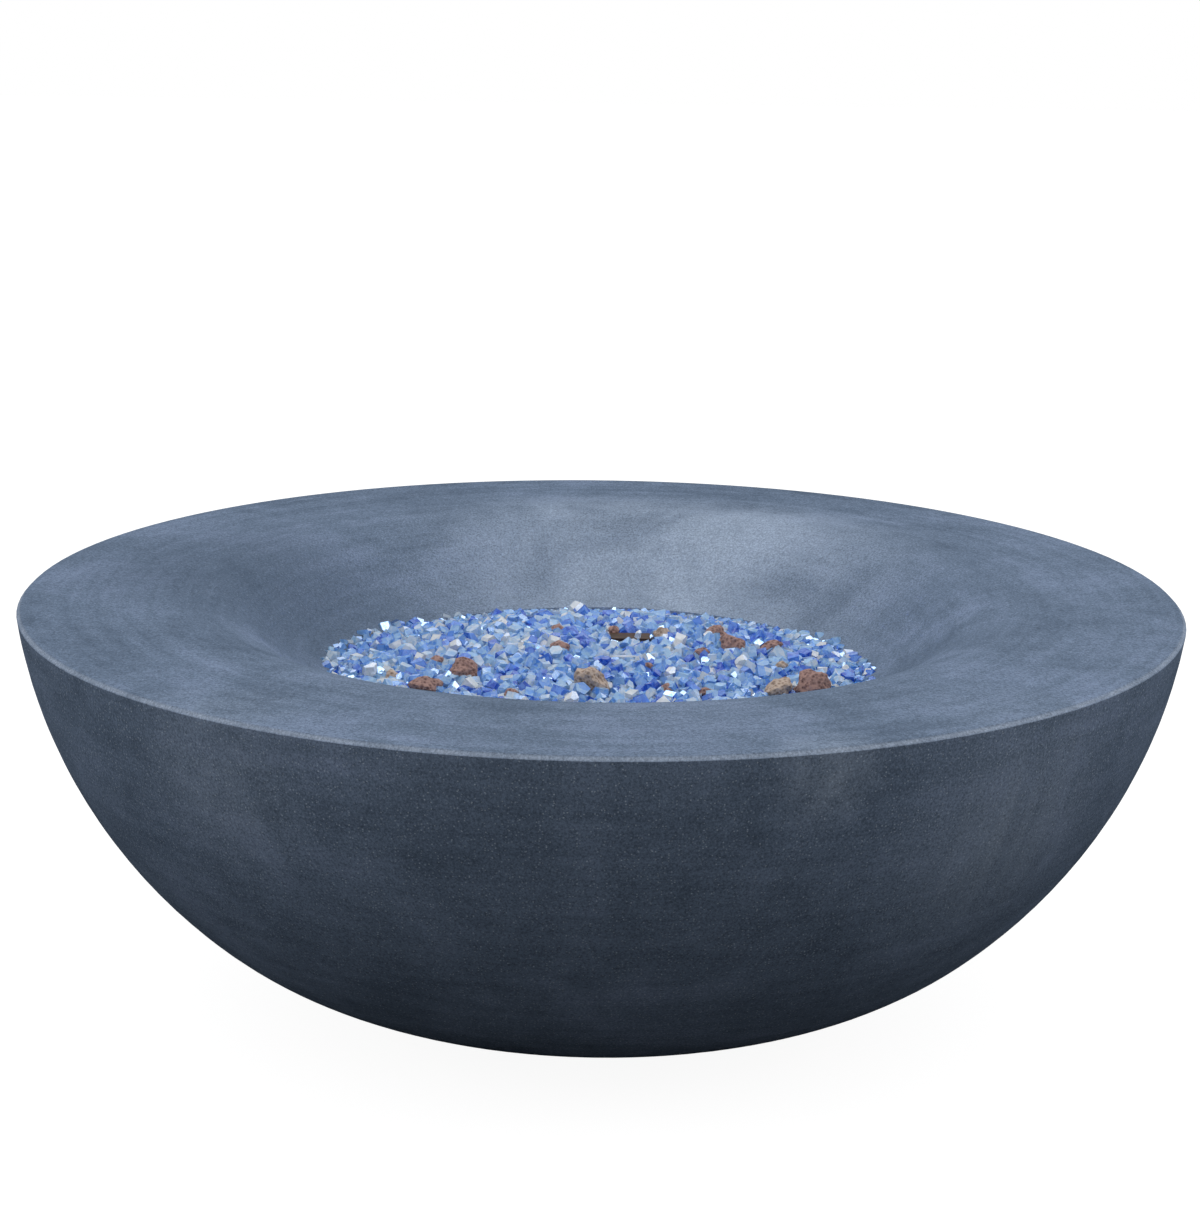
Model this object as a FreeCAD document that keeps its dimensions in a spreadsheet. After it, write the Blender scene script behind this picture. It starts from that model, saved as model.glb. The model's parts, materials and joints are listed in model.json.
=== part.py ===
import FreeCAD, Part
import math
import os
import Sketcher

# Round cast-concrete gas fire bowl, 42 inches across, with a drop-in burner pan full of fire glass.
# Millimetres. +Z is up, the origin is on the ground under the middle of the bowl, and the controls
# are on the rear wall, towards +Y.

os.makedirs("parts", exist_ok=True)
doc = FreeCAD.newDocument("fire_bowl")

SIZES = [
    # concrete bowl, outside
    ("rim_radius", 533.4),
    ("bowl_depth", 363.0),
    ("rim_edge", 3.5),
    ("side_angle", 7.6),
    ("shoulder_angle", 49.1),
    ("base_angle", 83.4),
    ("shoulder_rise", 75.5),
    ("wall", 16.0),
    ("base_thickness", 28.0),
    ("base_opening_radius", 110.0),
    # basin in the top of the bowl
    ("lip_radius", 140.0),
    ("lip_slope", 42.0),
    ("basin_radius", 210.0),
    ("basin_edge_slope", 22.0),
    ("seat_depth", 10.0),
    ("seat_gap", 4.5),
    # drop-in burner pan
    ("pan_flange_radius", 240.0),
    ("pan_flange_width", 27.0),
    ("pan_depth", 57.0),
    ("pan_sheet", 1.5),
    ("pan_corner", 7.0),
    ("pan_tub_gap", 3.0),
    ("drain_hole_radius", 4.0),
    ("drain_hole_count", 8),
    ("drain_inset", 22.0),
    # ring burner
    ("outer_ring_inset", 58.0),
    ("inner_ring_radius", 68.0),
    ("ring_tube_radius", 8.0),
    ("ring_tube_sheet", 1.2),
    ("ring_bevel", 4.0),
    ("spoke_radius", 6.0),
    ("burner_standoff", 12.0),
    ("port_radius", 1.5),
    ("outer_port_count", 24),
    ("inner_port_count", 12),
    ("hub_radius", 17.0),
    ("nipple_radius", 10.65),
    ("nipple_bore_radius", 8.0),
    ("nipple_length", 30.0),
    ("lock_nut_width", 32.0),
    ("lock_nut_height", 8.0),
    # air mixer, shutter, jet and elbow under the burner
    ("mixer_radius", 13.5),
    ("mixer_length", 76.0),
    ("mixer_overlap", 10.0),
    ("mixer_floor", 8.0),
    ("mixer_collar_radius", 17.0),
    ("mixer_collar_height", 6.0),
    ("window_height", 12.0),
    ("window_width", 11.0),
    ("window_lift", 9.0),
    ("shutter_sheet", 1.5),
    ("shutter_height", 24.0),
    ("shutter_tab", 9.0),
    ("jet_radius", 5.0),
    ("jet_length", 22.0),
    ("jet_hole_radius", 1.25),
    ("jet_hex_width", 13.0),
    ("elbow_radius", 9.0),
    ("elbow_reach", 22.0),
    ("elbow_height", 26.0),
    # pilot bracket, electrode and flame sensor
    ("pilot_x", 28.0),
    ("pilot_y", 88.0),
    ("hood_width", 38.0),
    ("hood_reach", 22.0),
    ("hood_height", 76.0),
    ("hood_sheet", 1.2),
    ("hood_lip", 6.0),
    ("probe_spacing", 18.0),
    ("electrode_radius", 3.2),
    ("electrode_length", 78.0),
    ("electrode_drop", 22.0),
    ("spark_rod_radius", 1.0),
    ("spark_rod_reach", 12.0),
    ("sensor_radius", 2.6),
    ("sensor_length", 84.0),
    ("sensor_drop", 18.0),
    ("probe_collar", 1.4),
    ("probe_collar_height", 3.0),
    ("bracket_screw_spacing", 30.0),
    # control panel in the rear wall
    ("panel_drop", 151.0),
    ("panel_length", 190.0),
    ("panel_width", 96.0),
    ("panel_sheet", 1.5),
    ("panel_corner", 8.0),
    ("panel_recess", 13.0),
    ("panel_fit", 1.0),
    ("panel_hole_length", 150.0),
    ("panel_hole_width", 64.0),
    ("boss_margin", 15.0),
    ("boss_thickness", 14.0),
    ("screw_inset", 10.0),
    ("control_spacing", 54.0),
    ("anchor_radius", 4.0),
    ("anchor_length", 11.0),
    ("screw_radius", 2.0),
    ("screw_length", 9.0),
    ("screw_head_radius", 3.8),
    ("screw_head_height", 2.0),
    # gas valve and knob
    ("valve_width", 34.0),
    ("valve_length", 50.0),
    ("valve_shoulder", 17.0),
    ("valve_cap_height", 4.0),
    ("cap_screw_inset", 5.0),
    ("plug_radius", 10.0),
    ("gas_way_radius", 3.0),
    ("port_boss_radius", 8.0),
    ("port_boss_height", 8.0),
    ("port_setback", 41.0),
    ("stem_radius", 4.0),
    ("stem_flat", 1.2),
    ("stem_in", 32.0),
    ("stem_out", 24.0),
    ("stem_hole_radius", 6.5),
    ("push_travel", 3.0),
    ("knob_radius", 22.0),
    ("knob_height", 24.0),
    ("knob_gap", 6.5),
    ("knob_skirt", 5.0),
    ("knob_grip_depth", 2.5),
    ("knob_grip_radius", 5.0),
    ("knob_grip_count", 10),
    ("knob_wall", 4.0),
    ("knob_boss_radius", 8.0),
    # battery igniter
    ("igniter_radius", 11.0),
    ("igniter_length", 66.0),
    ("igniter_flange_radius", 15.0),
    ("igniter_flange_height", 3.0),
    ("spigot_radius", 10.0),
    ("spigot_height", 3.5),
    ("igniter_nut_width", 28.0),
    ("igniter_nut_height", 6.0),
    ("cap_radius", 13.5),
    ("cap_height", 12.0),
    ("cap_lip", 2.0),
    ("button_radius", 7.3),
    ("button_flange_radius", 9.6),
    ("button_flange_height", 1.7),
    ("button_stand", 3.5),
    ("battery_radius", 7.2),
    ("battery_length", 50.0),
    ("battery_gap", 0.4),
    ("terminal_length", 8.0),
    ("terminal_width", 5.4),
    ("terminal_sheet", 1.0),
    # gas inlet and tubes
    ("inlet_radius", 7.94),
    ("inlet_reach", 18.0),
    ("inlet_bore_radius", 4.5),
    ("inlet_hex_width", 22.0),
    ("inlet_hex_height", 6.0),
    ("inlet_tail", 19.0),
    ("inlet_nut_height", 6.0),
    ("tube_radius", 4.0),
    ("tube_bore_radius", 3.0),
    ("tube_bend", 12.0),
    ("main_tube_bend", 60.0),
    ("tube_nut_width", 15.0),
    ("tube_nut_height", 9.0),
    # heat shield over the controls
    ("shield_sheet", 1.0),
    ("shield_length", 146.0),
    ("shield_reach", 96.0),
    ("shield_wing", 34.0),
    ("shield_tab", 9.0),
    ("shield_fit", 2.5),
    # levelling feet
    ("foot_height", 18.0),
    ("foot_inset", 46.6),
    ("foot_radius", 20.0),
    ("foot_pad_height", 8.0),
    ("stud_radius", 5.0),
    ("stud_hex_width", 16.0),
    ("stud_hex_height", 4.0),
    ("stud_pin_radius", 4.0),
    ("stud_pin_length", 5.0),
    ("stud_grip", 22.0),
    ("insert_radius", 7.5),
    ("insert_length", 24.0),
    # fire glass and lava rock
    ("glass_crown", 13.0),
    ("glass_edge_gap", 7.0),
    ("glass_above_burner", 0.5),
    ("glass_piece", 10.8),
    ("glass_height", 8.0),
    ("glass_spacing", 12.6),
    ("glass_rim_gap", 14.0),
    ("rock_height", 14.0),
    ("glass_seat", 0.15),
    ("filler_gap", 6.0),
    # leads
    ("lead_radius", 1.8),
    ("lead_drop", 40.0),
    ("lead_straight", 43.0),
    # clearances
    ("running_fit", 0.05),
    ("loose_fit", 0.3),
    ("hole_fit", 0.5),
    ("overcut", 1.0),
]

dims = doc.addObject("Spreadsheet::Sheet", "dims")
for row, (alias, size) in enumerate(SIZES, start=1):
    dims.set(f"A{row}", alias)
    dims.set(f"B{row}", str(size))
    dims.setAlias(f"B{row}", alias)
doc.recompute()

# Places worked out from the sizes, each bound by a formula.
places = doc.addObject("App::VarSet", "places")


def derive(name, formula, kind="App::PropertyFloat"):
    places.addProperty(kind, name)
    places.setExpression(name, formula)


def value(formula):
    return float(dims.evalExpression(formula))


def derive_bowl():
    derive("rim_z", "dims.foot_height + dims.bowl_depth")
    derive("side_top_z", "rim_z - dims.rim_edge")
    derive("side_radius", "(dims.bowl_depth - dims.rim_edge - dims.shoulder_rise)"
           " / (sin(dims.shoulder_angle) - sin(dims.side_angle))")
    derive("side_centre_r", "dims.rim_radius - side_radius * cos(dims.side_angle)")
    derive("side_centre_z", "side_top_z + side_radius * sin(dims.side_angle)")
    derive("shoulder_r", "side_centre_r + side_radius * cos(dims.shoulder_angle)")
    derive("shoulder_z", "dims.foot_height + dims.shoulder_rise")
    derive("belly_radius", "dims.shoulder_rise / (sin(dims.base_angle) - sin(dims.shoulder_angle))")
    derive("belly_centre_r", "shoulder_r - belly_radius * cos(dims.shoulder_angle)")
    derive("belly_centre_z", "shoulder_z + belly_radius * sin(dims.shoulder_angle)")
    derive("base_r", "belly_centre_r + belly_radius * cos(dims.base_angle)")
    derive("base_top_z", "dims.foot_height + dims.base_thickness")


def derive_basin():
    derive("seat_wall_r", "dims.pan_flange_radius + dims.seat_gap")
    derive("basin_centre_r", "seat_wall_r - dims.basin_radius * sin(dims.basin_edge_slope)")
    derive("slope_r", "basin_centre_r + dims.basin_radius * sin(dims.lip_slope)")
    derive("lip_r", "slope_r + dims.lip_radius * sin(dims.lip_slope)")
    derive("slope_z", "rim_z - dims.lip_radius * (1 - cos(dims.lip_slope))")
    derive("basin_centre_z", "slope_z + dims.basin_radius * cos(dims.lip_slope)")
    derive("basin_edge_z", "basin_centre_z - dims.basin_radius * cos(dims.basin_edge_slope)")
    derive("ledge_z", "basin_edge_z - dims.seat_depth")
    derive("pan_opening_r", "dims.pan_flange_radius - dims.pan_flange_width + dims.pan_tub_gap")


def derive_burner():
    derive("flange_top_z", "ledge_z + dims.pan_sheet")
    derive("tub_r", "dims.pan_flange_radius - dims.pan_flange_width")
    derive("tub_inner_r", "tub_r - dims.pan_sheet")
    derive("pan_under_z", "ledge_z - dims.pan_depth")
    derive("pan_floor_z", "pan_under_z + dims.pan_sheet")
    derive("ring_z", "pan_floor_z + dims.burner_standoff + dims.ring_tube_radius")
    derive("ring_top_z", "ring_z + dims.ring_tube_radius")
    derive("outer_ring_r", "tub_inner_r - dims.outer_ring_inset - dims.ring_tube_radius")
    derive("nipple_end_z", "pan_floor_z - dims.nipple_length")
    derive("mixer_top_z", "nipple_end_z + dims.mixer_overlap")
    derive("mixer_bottom_z", "mixer_top_z - dims.mixer_length")
    derive("shutter_z", "mixer_bottom_z + dims.mixer_collar_height + dims.loose_fit")
    derive("window_z", "shutter_z + dims.window_lift")
    derive("elbow_z", "mixer_bottom_z - dims.elbow_height / 2")
    derive("hood_top_z", "pan_floor_z + dims.hood_height")
    derive("probe_z", "pan_floor_z + dims.hood_sheet")
    derive("bracket_screw_y",
           "dims.pilot_y - dims.hood_reach / 2 + dims.screw_head_radius + dims.overcut / 2")
    derive("bed_z", "ring_top_z + dims.glass_above_burner")
    derive("bed_edge_r", "seat_wall_r - dims.loose_fit")
    derive("bed_edge_z", "basin_edge_z - dims.glass_edge_gap")
    derive("dome_radius", "(bed_edge_r ^ 2 + dims.glass_crown ^ 2) / (2 * dims.glass_crown)")


def derive_panel():
    derive("panel_sine", "(side_centre_z - rim_z + dims.panel_drop) / side_radius")
    derive("panel_cosine", "sqrt(1 - panel_sine ^ 2)")
    derive("panel_tilt", "asin(panel_sine)", "App::PropertyAngle")
    derive("wall_y", "side_centre_r + side_radius * panel_cosine")
    derive("wall_z", "rim_z - dims.panel_drop")
    derive("panel_back", "-dims.panel_recess")
    derive("panel_front", "panel_back + dims.panel_sheet")
    derive("valve_rear", "panel_back - dims.valve_length")
    derive("plug_front", "panel_back - dims.valve_shoulder")
    derive("port_level", "panel_back - dims.port_setback")
    derive("port_reach", "dims.valve_width / 2 + dims.port_boss_height")
    derive("knob_rear", "panel_front + dims.knob_gap")
    derive("shield_y", "dims.shield_fit - dims.panel_hole_width / 2")
    derive("shield_tab_y", "shield_y + dims.shield_tab / 2")
    derive("foot_r", "base_r - dims.foot_inset")


derive_bowl()
derive_basin()
derive_burner()
derive_panel()
doc.recompute()

PARTS = []


def keep(shape, label):
    """Name a finished sub-part and put it on the list that is written out."""
    shape.Label = label
    PARTS.append(shape)
    return shape


# Sketches

def sketch_on(body, role, name, height=None):
    sketch = body.newObject("Sketcher::SketchObject", name)
    support = next(part for part in body.Origin.OriginFeatures if part.Role == role)
    sketch.AttachmentSupport = [(support, "")]
    sketch.MapMode = "FlatFace"
    if height:
        sketch.setExpression("AttachmentOffset.Base.z", height)
    return sketch


def pin_point(sketch, piece, end, across, up):
    """Hold one point of a sketch at two distances from the origin, each bound to a formula."""
    for kind, formula in (("DistanceX", across), ("DistanceY", up)):
        rule = Sketcher.Constraint(kind, -1, 1, piece, end, value(formula))
        number = sketch.addConstraint(rule)
        sketch.setExpression(f"Constraints[{number}]", formula)


def bind_radius(sketch, piece, formula):
    number = sketch.addConstraint(Sketcher.Constraint("Radius", piece, value(formula)))
    sketch.setExpression(f"Constraints[{number}]", formula)


def add_arc(sketch, start, end, radius, turn):
    """Arc from start to end; turn is 1 where it curves to the left and -1 to the right."""
    chord = end - start
    half = chord.Length / 2
    left = FreeCAD.Vector(-chord.y, chord.x, 0).normalize()
    centre = start + chord * 0.5 + left * (turn * math.sqrt(radius ** 2 - half ** 2))
    first, last = (start, end) if turn > 0 else (end, start)
    angles = [math.atan2(point.y - centre.y, point.x - centre.x) for point in (first, last)]
    if angles[1] < angles[0]:
        angles[1] += 2 * math.pi
    circle = Part.Circle(centre, FreeCAD.Vector(0, 0, 1), radius)
    return sketch.addGeometry(Part.ArcOfCircle(circle, *angles), False)


def draw_outline(sketch, corners, arcs=None):
    """Closed outline through the corners. arcs gives (radius, turn) for the side that leaves a corner."""
    arcs = arcs or {}
    points = [FreeCAD.Vector(value(across), value(up), 0) for across, up in corners]
    sides = []
    for number, start in enumerate(points):
        end = points[(number + 1) % len(points)]
        if number in arcs:
            radius, turn = arcs[number]
            piece = add_arc(sketch, start, end, value(radius), turn)
            bind_radius(sketch, piece, radius)
            sides.append((piece, 1, 2) if turn > 0 else (piece, 2, 1))
        else:
            piece = sketch.addGeometry(Part.LineSegment(start, end), False)
            sides.append((piece, 1, 2))
    for number, (piece, begin, finish) in enumerate(sides):
        following = sides[(number + 1) % len(sides)]
        sketch.addConstraint(Sketcher.Constraint("Coincident", piece, finish, following[0], following[1]))
        pin_point(sketch, piece, begin, *corners[number])


def draw_rectangle(sketch, left, right, bottom, top):
    draw_outline(sketch, [(left, bottom), (right, bottom), (right, top), (left, top)])


def draw_circle(sketch, across, up, radius):
    centre = FreeCAD.Vector(value(across), value(up), 0)
    circle = Part.Circle(centre, FreeCAD.Vector(0, 0, 1), value(radius))
    piece = sketch.addGeometry(circle, False)
    pin_point(sketch, piece, 3, across, up)
    bind_radius(sketch, piece, radius)


# Features

def new_body(name):
    return doc.addObject("PartDesign::Body", name)


def turn_profile(body, sketch, name, kind="PartDesign::Revolution"):
    feature = body.newObject(kind, name)
    feature.Profile = sketch
    feature.ReferenceAxis = (sketch, ["V_Axis"])
    feature.Angle = 360
    return feature


def pad(body, sketch, name, length, side="One side"):
    feature = body.newObject("PartDesign::Pad", name)
    feature.Profile = sketch
    feature.SideType = side
    feature.setExpression("Length", length)
    return feature


def pocket(body, sketch, name, length, side="Symmetric"):
    feature = body.newObject("PartDesign::Pocket", name)
    feature.Profile = sketch
    feature.SideType = side
    feature.setExpression("Length", length)
    return feature


def pattern_round(body, feature, name, count, angle=360):
    axis = next(part for part in body.Origin.OriginFeatures if part.Role == "Z_Axis")
    pattern = body.newObject("PartDesign::PolarPattern", name)
    pattern.Originals = [feature]
    pattern.Axis = (axis, [""])
    pattern.Angle = angle
    pattern.setExpression("Occurrences", count)
    body.Tip = pattern
    return pattern


def turned_body(name, corners, arcs=None):
    body = new_body(name)
    sketch = sketch_on(body, "XZ_Plane", name + "_profile")
    draw_outline(sketch, corners, arcs)
    turn_profile(body, sketch, name + "_turned")
    return body


# Primitives and booleans

def place(shape, across="0", along="0", up="0"):
    for axis, formula in (("x", across), ("y", along), ("z", up)):
        shape.setExpression(f"Placement.Base.{axis}", formula)
    return shape


def cylinder(name, radius, height, up="0", across="0", along="0"):
    shape = doc.addObject("Part::Cylinder", name)
    shape.setExpression("Radius", radius)
    shape.setExpression("Height", height)
    return place(shape, across, along, up)


LYING = {
    "left": FreeCAD.Rotation(FreeCAD.Vector(0, 1, 0), -90),
    "right": FreeCAD.Rotation(FreeCAD.Vector(0, 1, 0), 90),
    "down": FreeCAD.Rotation(FreeCAD.Vector(1, 0, 0), -90),
}


def lying_cylinder(name, radius, height, direction, up, across="0", along="0"):
    """Cylinder that lies along -X ("left"), +X ("right") or +Y ("down" on the control panel)."""
    shape = cylinder(name, radius, height, up, across, along)
    shape.Placement.Rotation = LYING[direction]
    return place(shape, across, along, up)


def block(name, length, width, height, up="0", across="0", along="0"):
    """Box centred on (across, along), standing on the height up."""
    shape = doc.addObject("Part::Box", name)
    shape.setExpression("Length", length)
    shape.setExpression("Width", width)
    shape.setExpression("Height", height)
    return place(shape, f"{across} - ({length}) / 2", f"{along} - ({width}) / 2", up)


def hexagon(name, width, height, up="0", across="0", along="0"):
    shape = doc.addObject("Part::Prism", name)
    shape.Polygon = 6
    shape.setExpression("Circumradius", f"{width} / 2 / cos(30)")
    shape.setExpression("Height", height)
    return place(shape, across, along, up)


def fuse(name, *shapes):
    result = doc.addObject("Part::MultiFuse", name)
    result.Shapes = list(shapes)
    return result


def cut(name, base, *tools):
    result = doc.addObject("Part::Cut", name)
    result.Base = base
    result.Tool = tools[0] if len(tools) == 1 else fuse(name + "_tools", *tools)
    return result


def group(name, shapes):
    result = doc.addObject("Part::Compound", name)
    result.Links = list(shapes)
    return result


def on_panel(shape, across="0"):
    """Place a shape in the panel's frame: its Z points out of the wall, its X along the panel."""
    shape.Placement = FreeCAD.Placement(FreeCAD.Vector(), FreeCAD.Rotation(FreeCAD.Vector(-1, 0, 0), 90))
    place(shape, across, "places.wall_y", "places.wall_z")
    shape.setExpression("Placement.Rotation.Angle", "90 deg + places.panel_tilt")
    return shape


def panel_point(across, down, out):
    """World position of a point given in the panel's frame."""
    sine = value("places.panel_sine")
    cosine = value("places.panel_cosine")
    along = value("places.wall_y") - down * sine + out * cosine
    up = value("places.wall_z") - down * cosine - out * sine
    return FreeCAD.Vector(across, along, up)


# Concrete bowl

def bowl_outside():
    corners = [
        ("0", "dims.foot_height"),
        ("places.base_r", "dims.foot_height"),
        ("places.shoulder_r", "places.shoulder_z"),
        ("dims.rim_radius", "places.side_top_z"),
        ("dims.rim_radius - dims.rim_edge", "places.rim_z"),
        ("places.lip_r", "places.rim_z"),
        ("places.slope_r", "places.slope_z"),
        ("places.seat_wall_r", "places.basin_edge_z"),
        ("places.seat_wall_r", "places.ledge_z"),
        ("0", "places.ledge_z"),
    ]
    arcs = {
        1: ("places.belly_radius", 1),
        2: ("places.side_radius", 1),
        5: ("dims.lip_radius", 1),
        6: ("dims.basin_radius", -1),
    }
    return turned_body("bowl_outside", corners, arcs)


def wall_steps(centre_r, centre_z, radius, first, last, steps):
    """Corners of a hidden curved wall in straight steps, between two angles below the horizontal."""
    corners = []
    for step in range(steps + 1):
        angle = f"({first} + ({last} - {first}) * {step} / {steps})"
        corners.append((f"{centre_r} + {radius} * cos({angle})", f"{centre_z} - {radius} * sin({angle})"))
    return corners


def bowl_hollow():
    """Space inside the concrete: the wall's thickness in from the outside, open below and at the pan."""
    inner_belly = "(places.belly_radius - dims.wall)"
    inner_side = "(places.side_radius - dims.wall)"
    inner_lip = "(dims.lip_radius - dims.wall)"
    floor_drop = "(places.belly_centre_z - places.base_top_z)"
    roof_drop = "(places.side_centre_z - places.rim_z + dims.wall)"
    seat_drop = "(dims.wall / cos(dims.basin_edge_slope) - dims.wall * tan(dims.basin_edge_slope))"
    seat_r = "places.seat_wall_r + dims.wall"
    corners = [
        ("0", "dims.foot_height - dims.overcut"),
        ("dims.base_opening_radius", "dims.foot_height - dims.overcut"),
        ("dims.base_opening_radius", "places.base_top_z"),
        (f"places.belly_centre_r + sqrt({inner_belly} ^ 2 - {floor_drop} ^ 2)", "places.base_top_z"),
        *wall_steps("places.belly_centre_r", "places.belly_centre_z", inner_belly,
                    "(dims.base_angle + dims.shoulder_angle) / 2", "dims.shoulder_angle", 1),
        *wall_steps("places.side_centre_r", "places.side_centre_z", inner_side,
                    "dims.shoulder_angle", "dims.side_angle", 4)[1:-1],
        (f"places.side_centre_r + sqrt({inner_side} ^ 2 - {roof_drop} ^ 2)", "places.rim_z - dims.wall"),
        ("places.lip_r", "places.rim_z - dims.wall"),
        (f"places.lip_r - {inner_lip} * sin(dims.lip_slope / 2)",
         f"places.rim_z - dims.lip_radius + {inner_lip} * cos(dims.lip_slope / 2)"),
        (f"places.lip_r - {inner_lip} * sin(dims.lip_slope)",
         f"places.rim_z - dims.lip_radius + {inner_lip} * cos(dims.lip_slope)"),
        (seat_r, f"places.basin_edge_z - {seat_drop}"),
        (seat_r, "places.ledge_z - dims.wall"),
        ("places.pan_opening_r", "places.ledge_z - dims.wall"),
        ("places.pan_opening_r", "places.ledge_z + dims.overcut"),
        ("0", "places.ledge_z + dims.overcut"),
    ]
    return turned_body("bowl_hollow", corners)


def panel_corners():
    """Places of the panel's four corner screws, in the panel's frame."""
    across = "(dims.panel_length / 2 - dims.screw_inset)"
    down = "(dims.panel_width / 2 - dims.screw_inset)"
    return [(f"{side} * {across}", f"{end} * {down}") for side in (-1, 1) for end in (-1, 1)]


def foot_centres():
    """The four feet stand on the diagonals."""
    reach = "(places.foot_r * sqrt(0.5))"
    return [(f"{side} * {reach}", f"{end} * {reach}") for side in (-1, 1) for end in (-1, 1)]


def make_bowl_shell():
    boss = block("panel_boss", "dims.panel_length + 2 * dims.boss_margin",
                 "dims.panel_width + 2 * dims.boss_margin",
                 "dims.panel_recess + dims.boss_thickness",
                 "-dims.panel_recess - dims.boss_thickness")
    boss_placed = on_panel(group("panel_boss_placed", [boss]))
    hollow = cut("hollow_less_boss", bowl_hollow(), boss_placed)
    recess = block("panel_recess_space", "dims.panel_length + 2 * dims.panel_fit",
                   "dims.panel_width + 2 * dims.panel_fit",
                   "dims.panel_recess + dims.wall", "places.panel_back")
    opening = block("panel_opening_space", "dims.panel_hole_length", "dims.panel_hole_width",
                    "dims.boss_thickness + dims.wall + dims.overcut",
                    "places.panel_back - dims.boss_thickness - dims.wall")
    anchors = [cylinder(f"anchor_hole_{number}", "dims.anchor_radius", "dims.anchor_length + dims.overcut",
                        "places.panel_back - dims.anchor_length", across, down)
               for number, (across, down) in enumerate(panel_corners())]
    control_space = on_panel(fuse("control_space", recess, opening, *anchors))
    inserts = [cylinder(f"insert_hole_{number}", "dims.insert_radius", "dims.insert_length + dims.overcut",
                        "dims.foot_height - dims.overcut", across, along)
               for number, (across, along) in enumerate(foot_centres())]
    keep(cut("bowl_shell_cut", bowl_outside(), hollow, control_space, *inserts), "bowl_shell")


# Burner pan and ring burner

def make_burner_pan():
    """Round stainless tub with a wide flat flange, drain holes and holes for the burner and the probes."""
    corners = [
        ("0", "places.pan_under_z"),
        ("places.tub_r - dims.pan_corner", "places.pan_under_z"),
        ("places.tub_r", "places.pan_under_z + dims.pan_corner"),
        ("places.tub_r", "places.ledge_z"),
        ("dims.pan_flange_radius", "places.ledge_z"),
        ("dims.pan_flange_radius", "places.flange_top_z"),
        ("places.tub_inner_r", "places.flange_top_z"),
        ("places.tub_inner_r", "places.pan_floor_z + dims.pan_corner"),
        ("places.tub_inner_r - dims.pan_corner", "places.pan_floor_z"),
        ("0", "places.pan_floor_z"),
    ]
    pan = turned_body("burner_pan", corners)
    holes = sketch_on(pan, "XY_Plane", "pan_holes", "places.pan_under_z")
    draw_circle(holes, "0", "0", "dims.nipple_radius + dims.hole_fit")
    for side, radius in ((-1, "dims.electrode_radius"), (1, "dims.sensor_radius")):
        draw_circle(holes, f"dims.pilot_x + {side} * dims.probe_spacing / 2", "dims.pilot_y",
                    f"{radius} + dims.hole_fit")
    for side in (-1, 1):
        draw_circle(holes, f"dims.pilot_x + {side} * dims.bracket_screw_spacing / 2",
                    "places.bracket_screw_y", "dims.screw_radius + dims.running_fit")
    pocket(pan, holes, "pan_holes_cut", "4 * dims.pan_sheet")
    drain = sketch_on(pan, "XY_Plane", "drain_hole", "places.pan_under_z")
    draw_circle(drain, "places.tub_inner_r - dims.drain_inset", "0", "dims.drain_hole_radius")
    drain_cut = pocket(pan, drain, "drain_hole_cut", "4 * dims.pan_sheet")
    pattern_round(pan, drain_cut, "drain_holes", "dims.drain_hole_count")
    keep(pan, "burner_pan")


def ring_profile(body, name, inset):
    """Section of both rings: pressed channel with a flat top and bevelled shoulders."""
    sketch = sketch_on(body, "XZ_Plane", name)
    half = f"(dims.ring_tube_radius - {inset})"
    bevel = f"(dims.ring_bevel - {inset} / 2)"
    for reach in ("places.outer_ring_r", "dims.inner_ring_radius"):
        draw_outline(sketch, [
            (f"{reach} - {half}", f"places.ring_z - {half}"),
            (f"{reach} + {half}", f"places.ring_z - {half}"),
            (f"{reach} + {half}", f"places.ring_z + {half} - {bevel}"),
            (f"{reach} + {half} - {bevel}", f"places.ring_z + {half}"),
            (f"{reach} - {half} + {bevel}", f"places.ring_z + {half}"),
            (f"{reach} - {half}", f"places.ring_z + {half} - {bevel}"),
        ])
    return sketch


def spoke_profile(body, name, radius):
    sketch = sketch_on(body, "XZ_Plane", name)
    draw_circle(sketch, "0", "places.ring_z", radius)
    return sketch


def drill_ports(body, name, reach, count):
    """Row of flame ports round the top of one ring, drilled up from inside its channel."""
    sketch = sketch_on(body, "XY_Plane", name, "places.ring_z")
    angle = f"180 / {count}"
    draw_circle(sketch, f"{reach} * cos({angle})", f"{reach} * sin({angle})", "dims.port_radius")
    port = pocket(body, sketch, name + "_cut", "dims.ring_tube_radius + dims.overcut", "One side")
    port.Reversed = True
    pattern_round(body, port, name + "_row", count)


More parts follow.
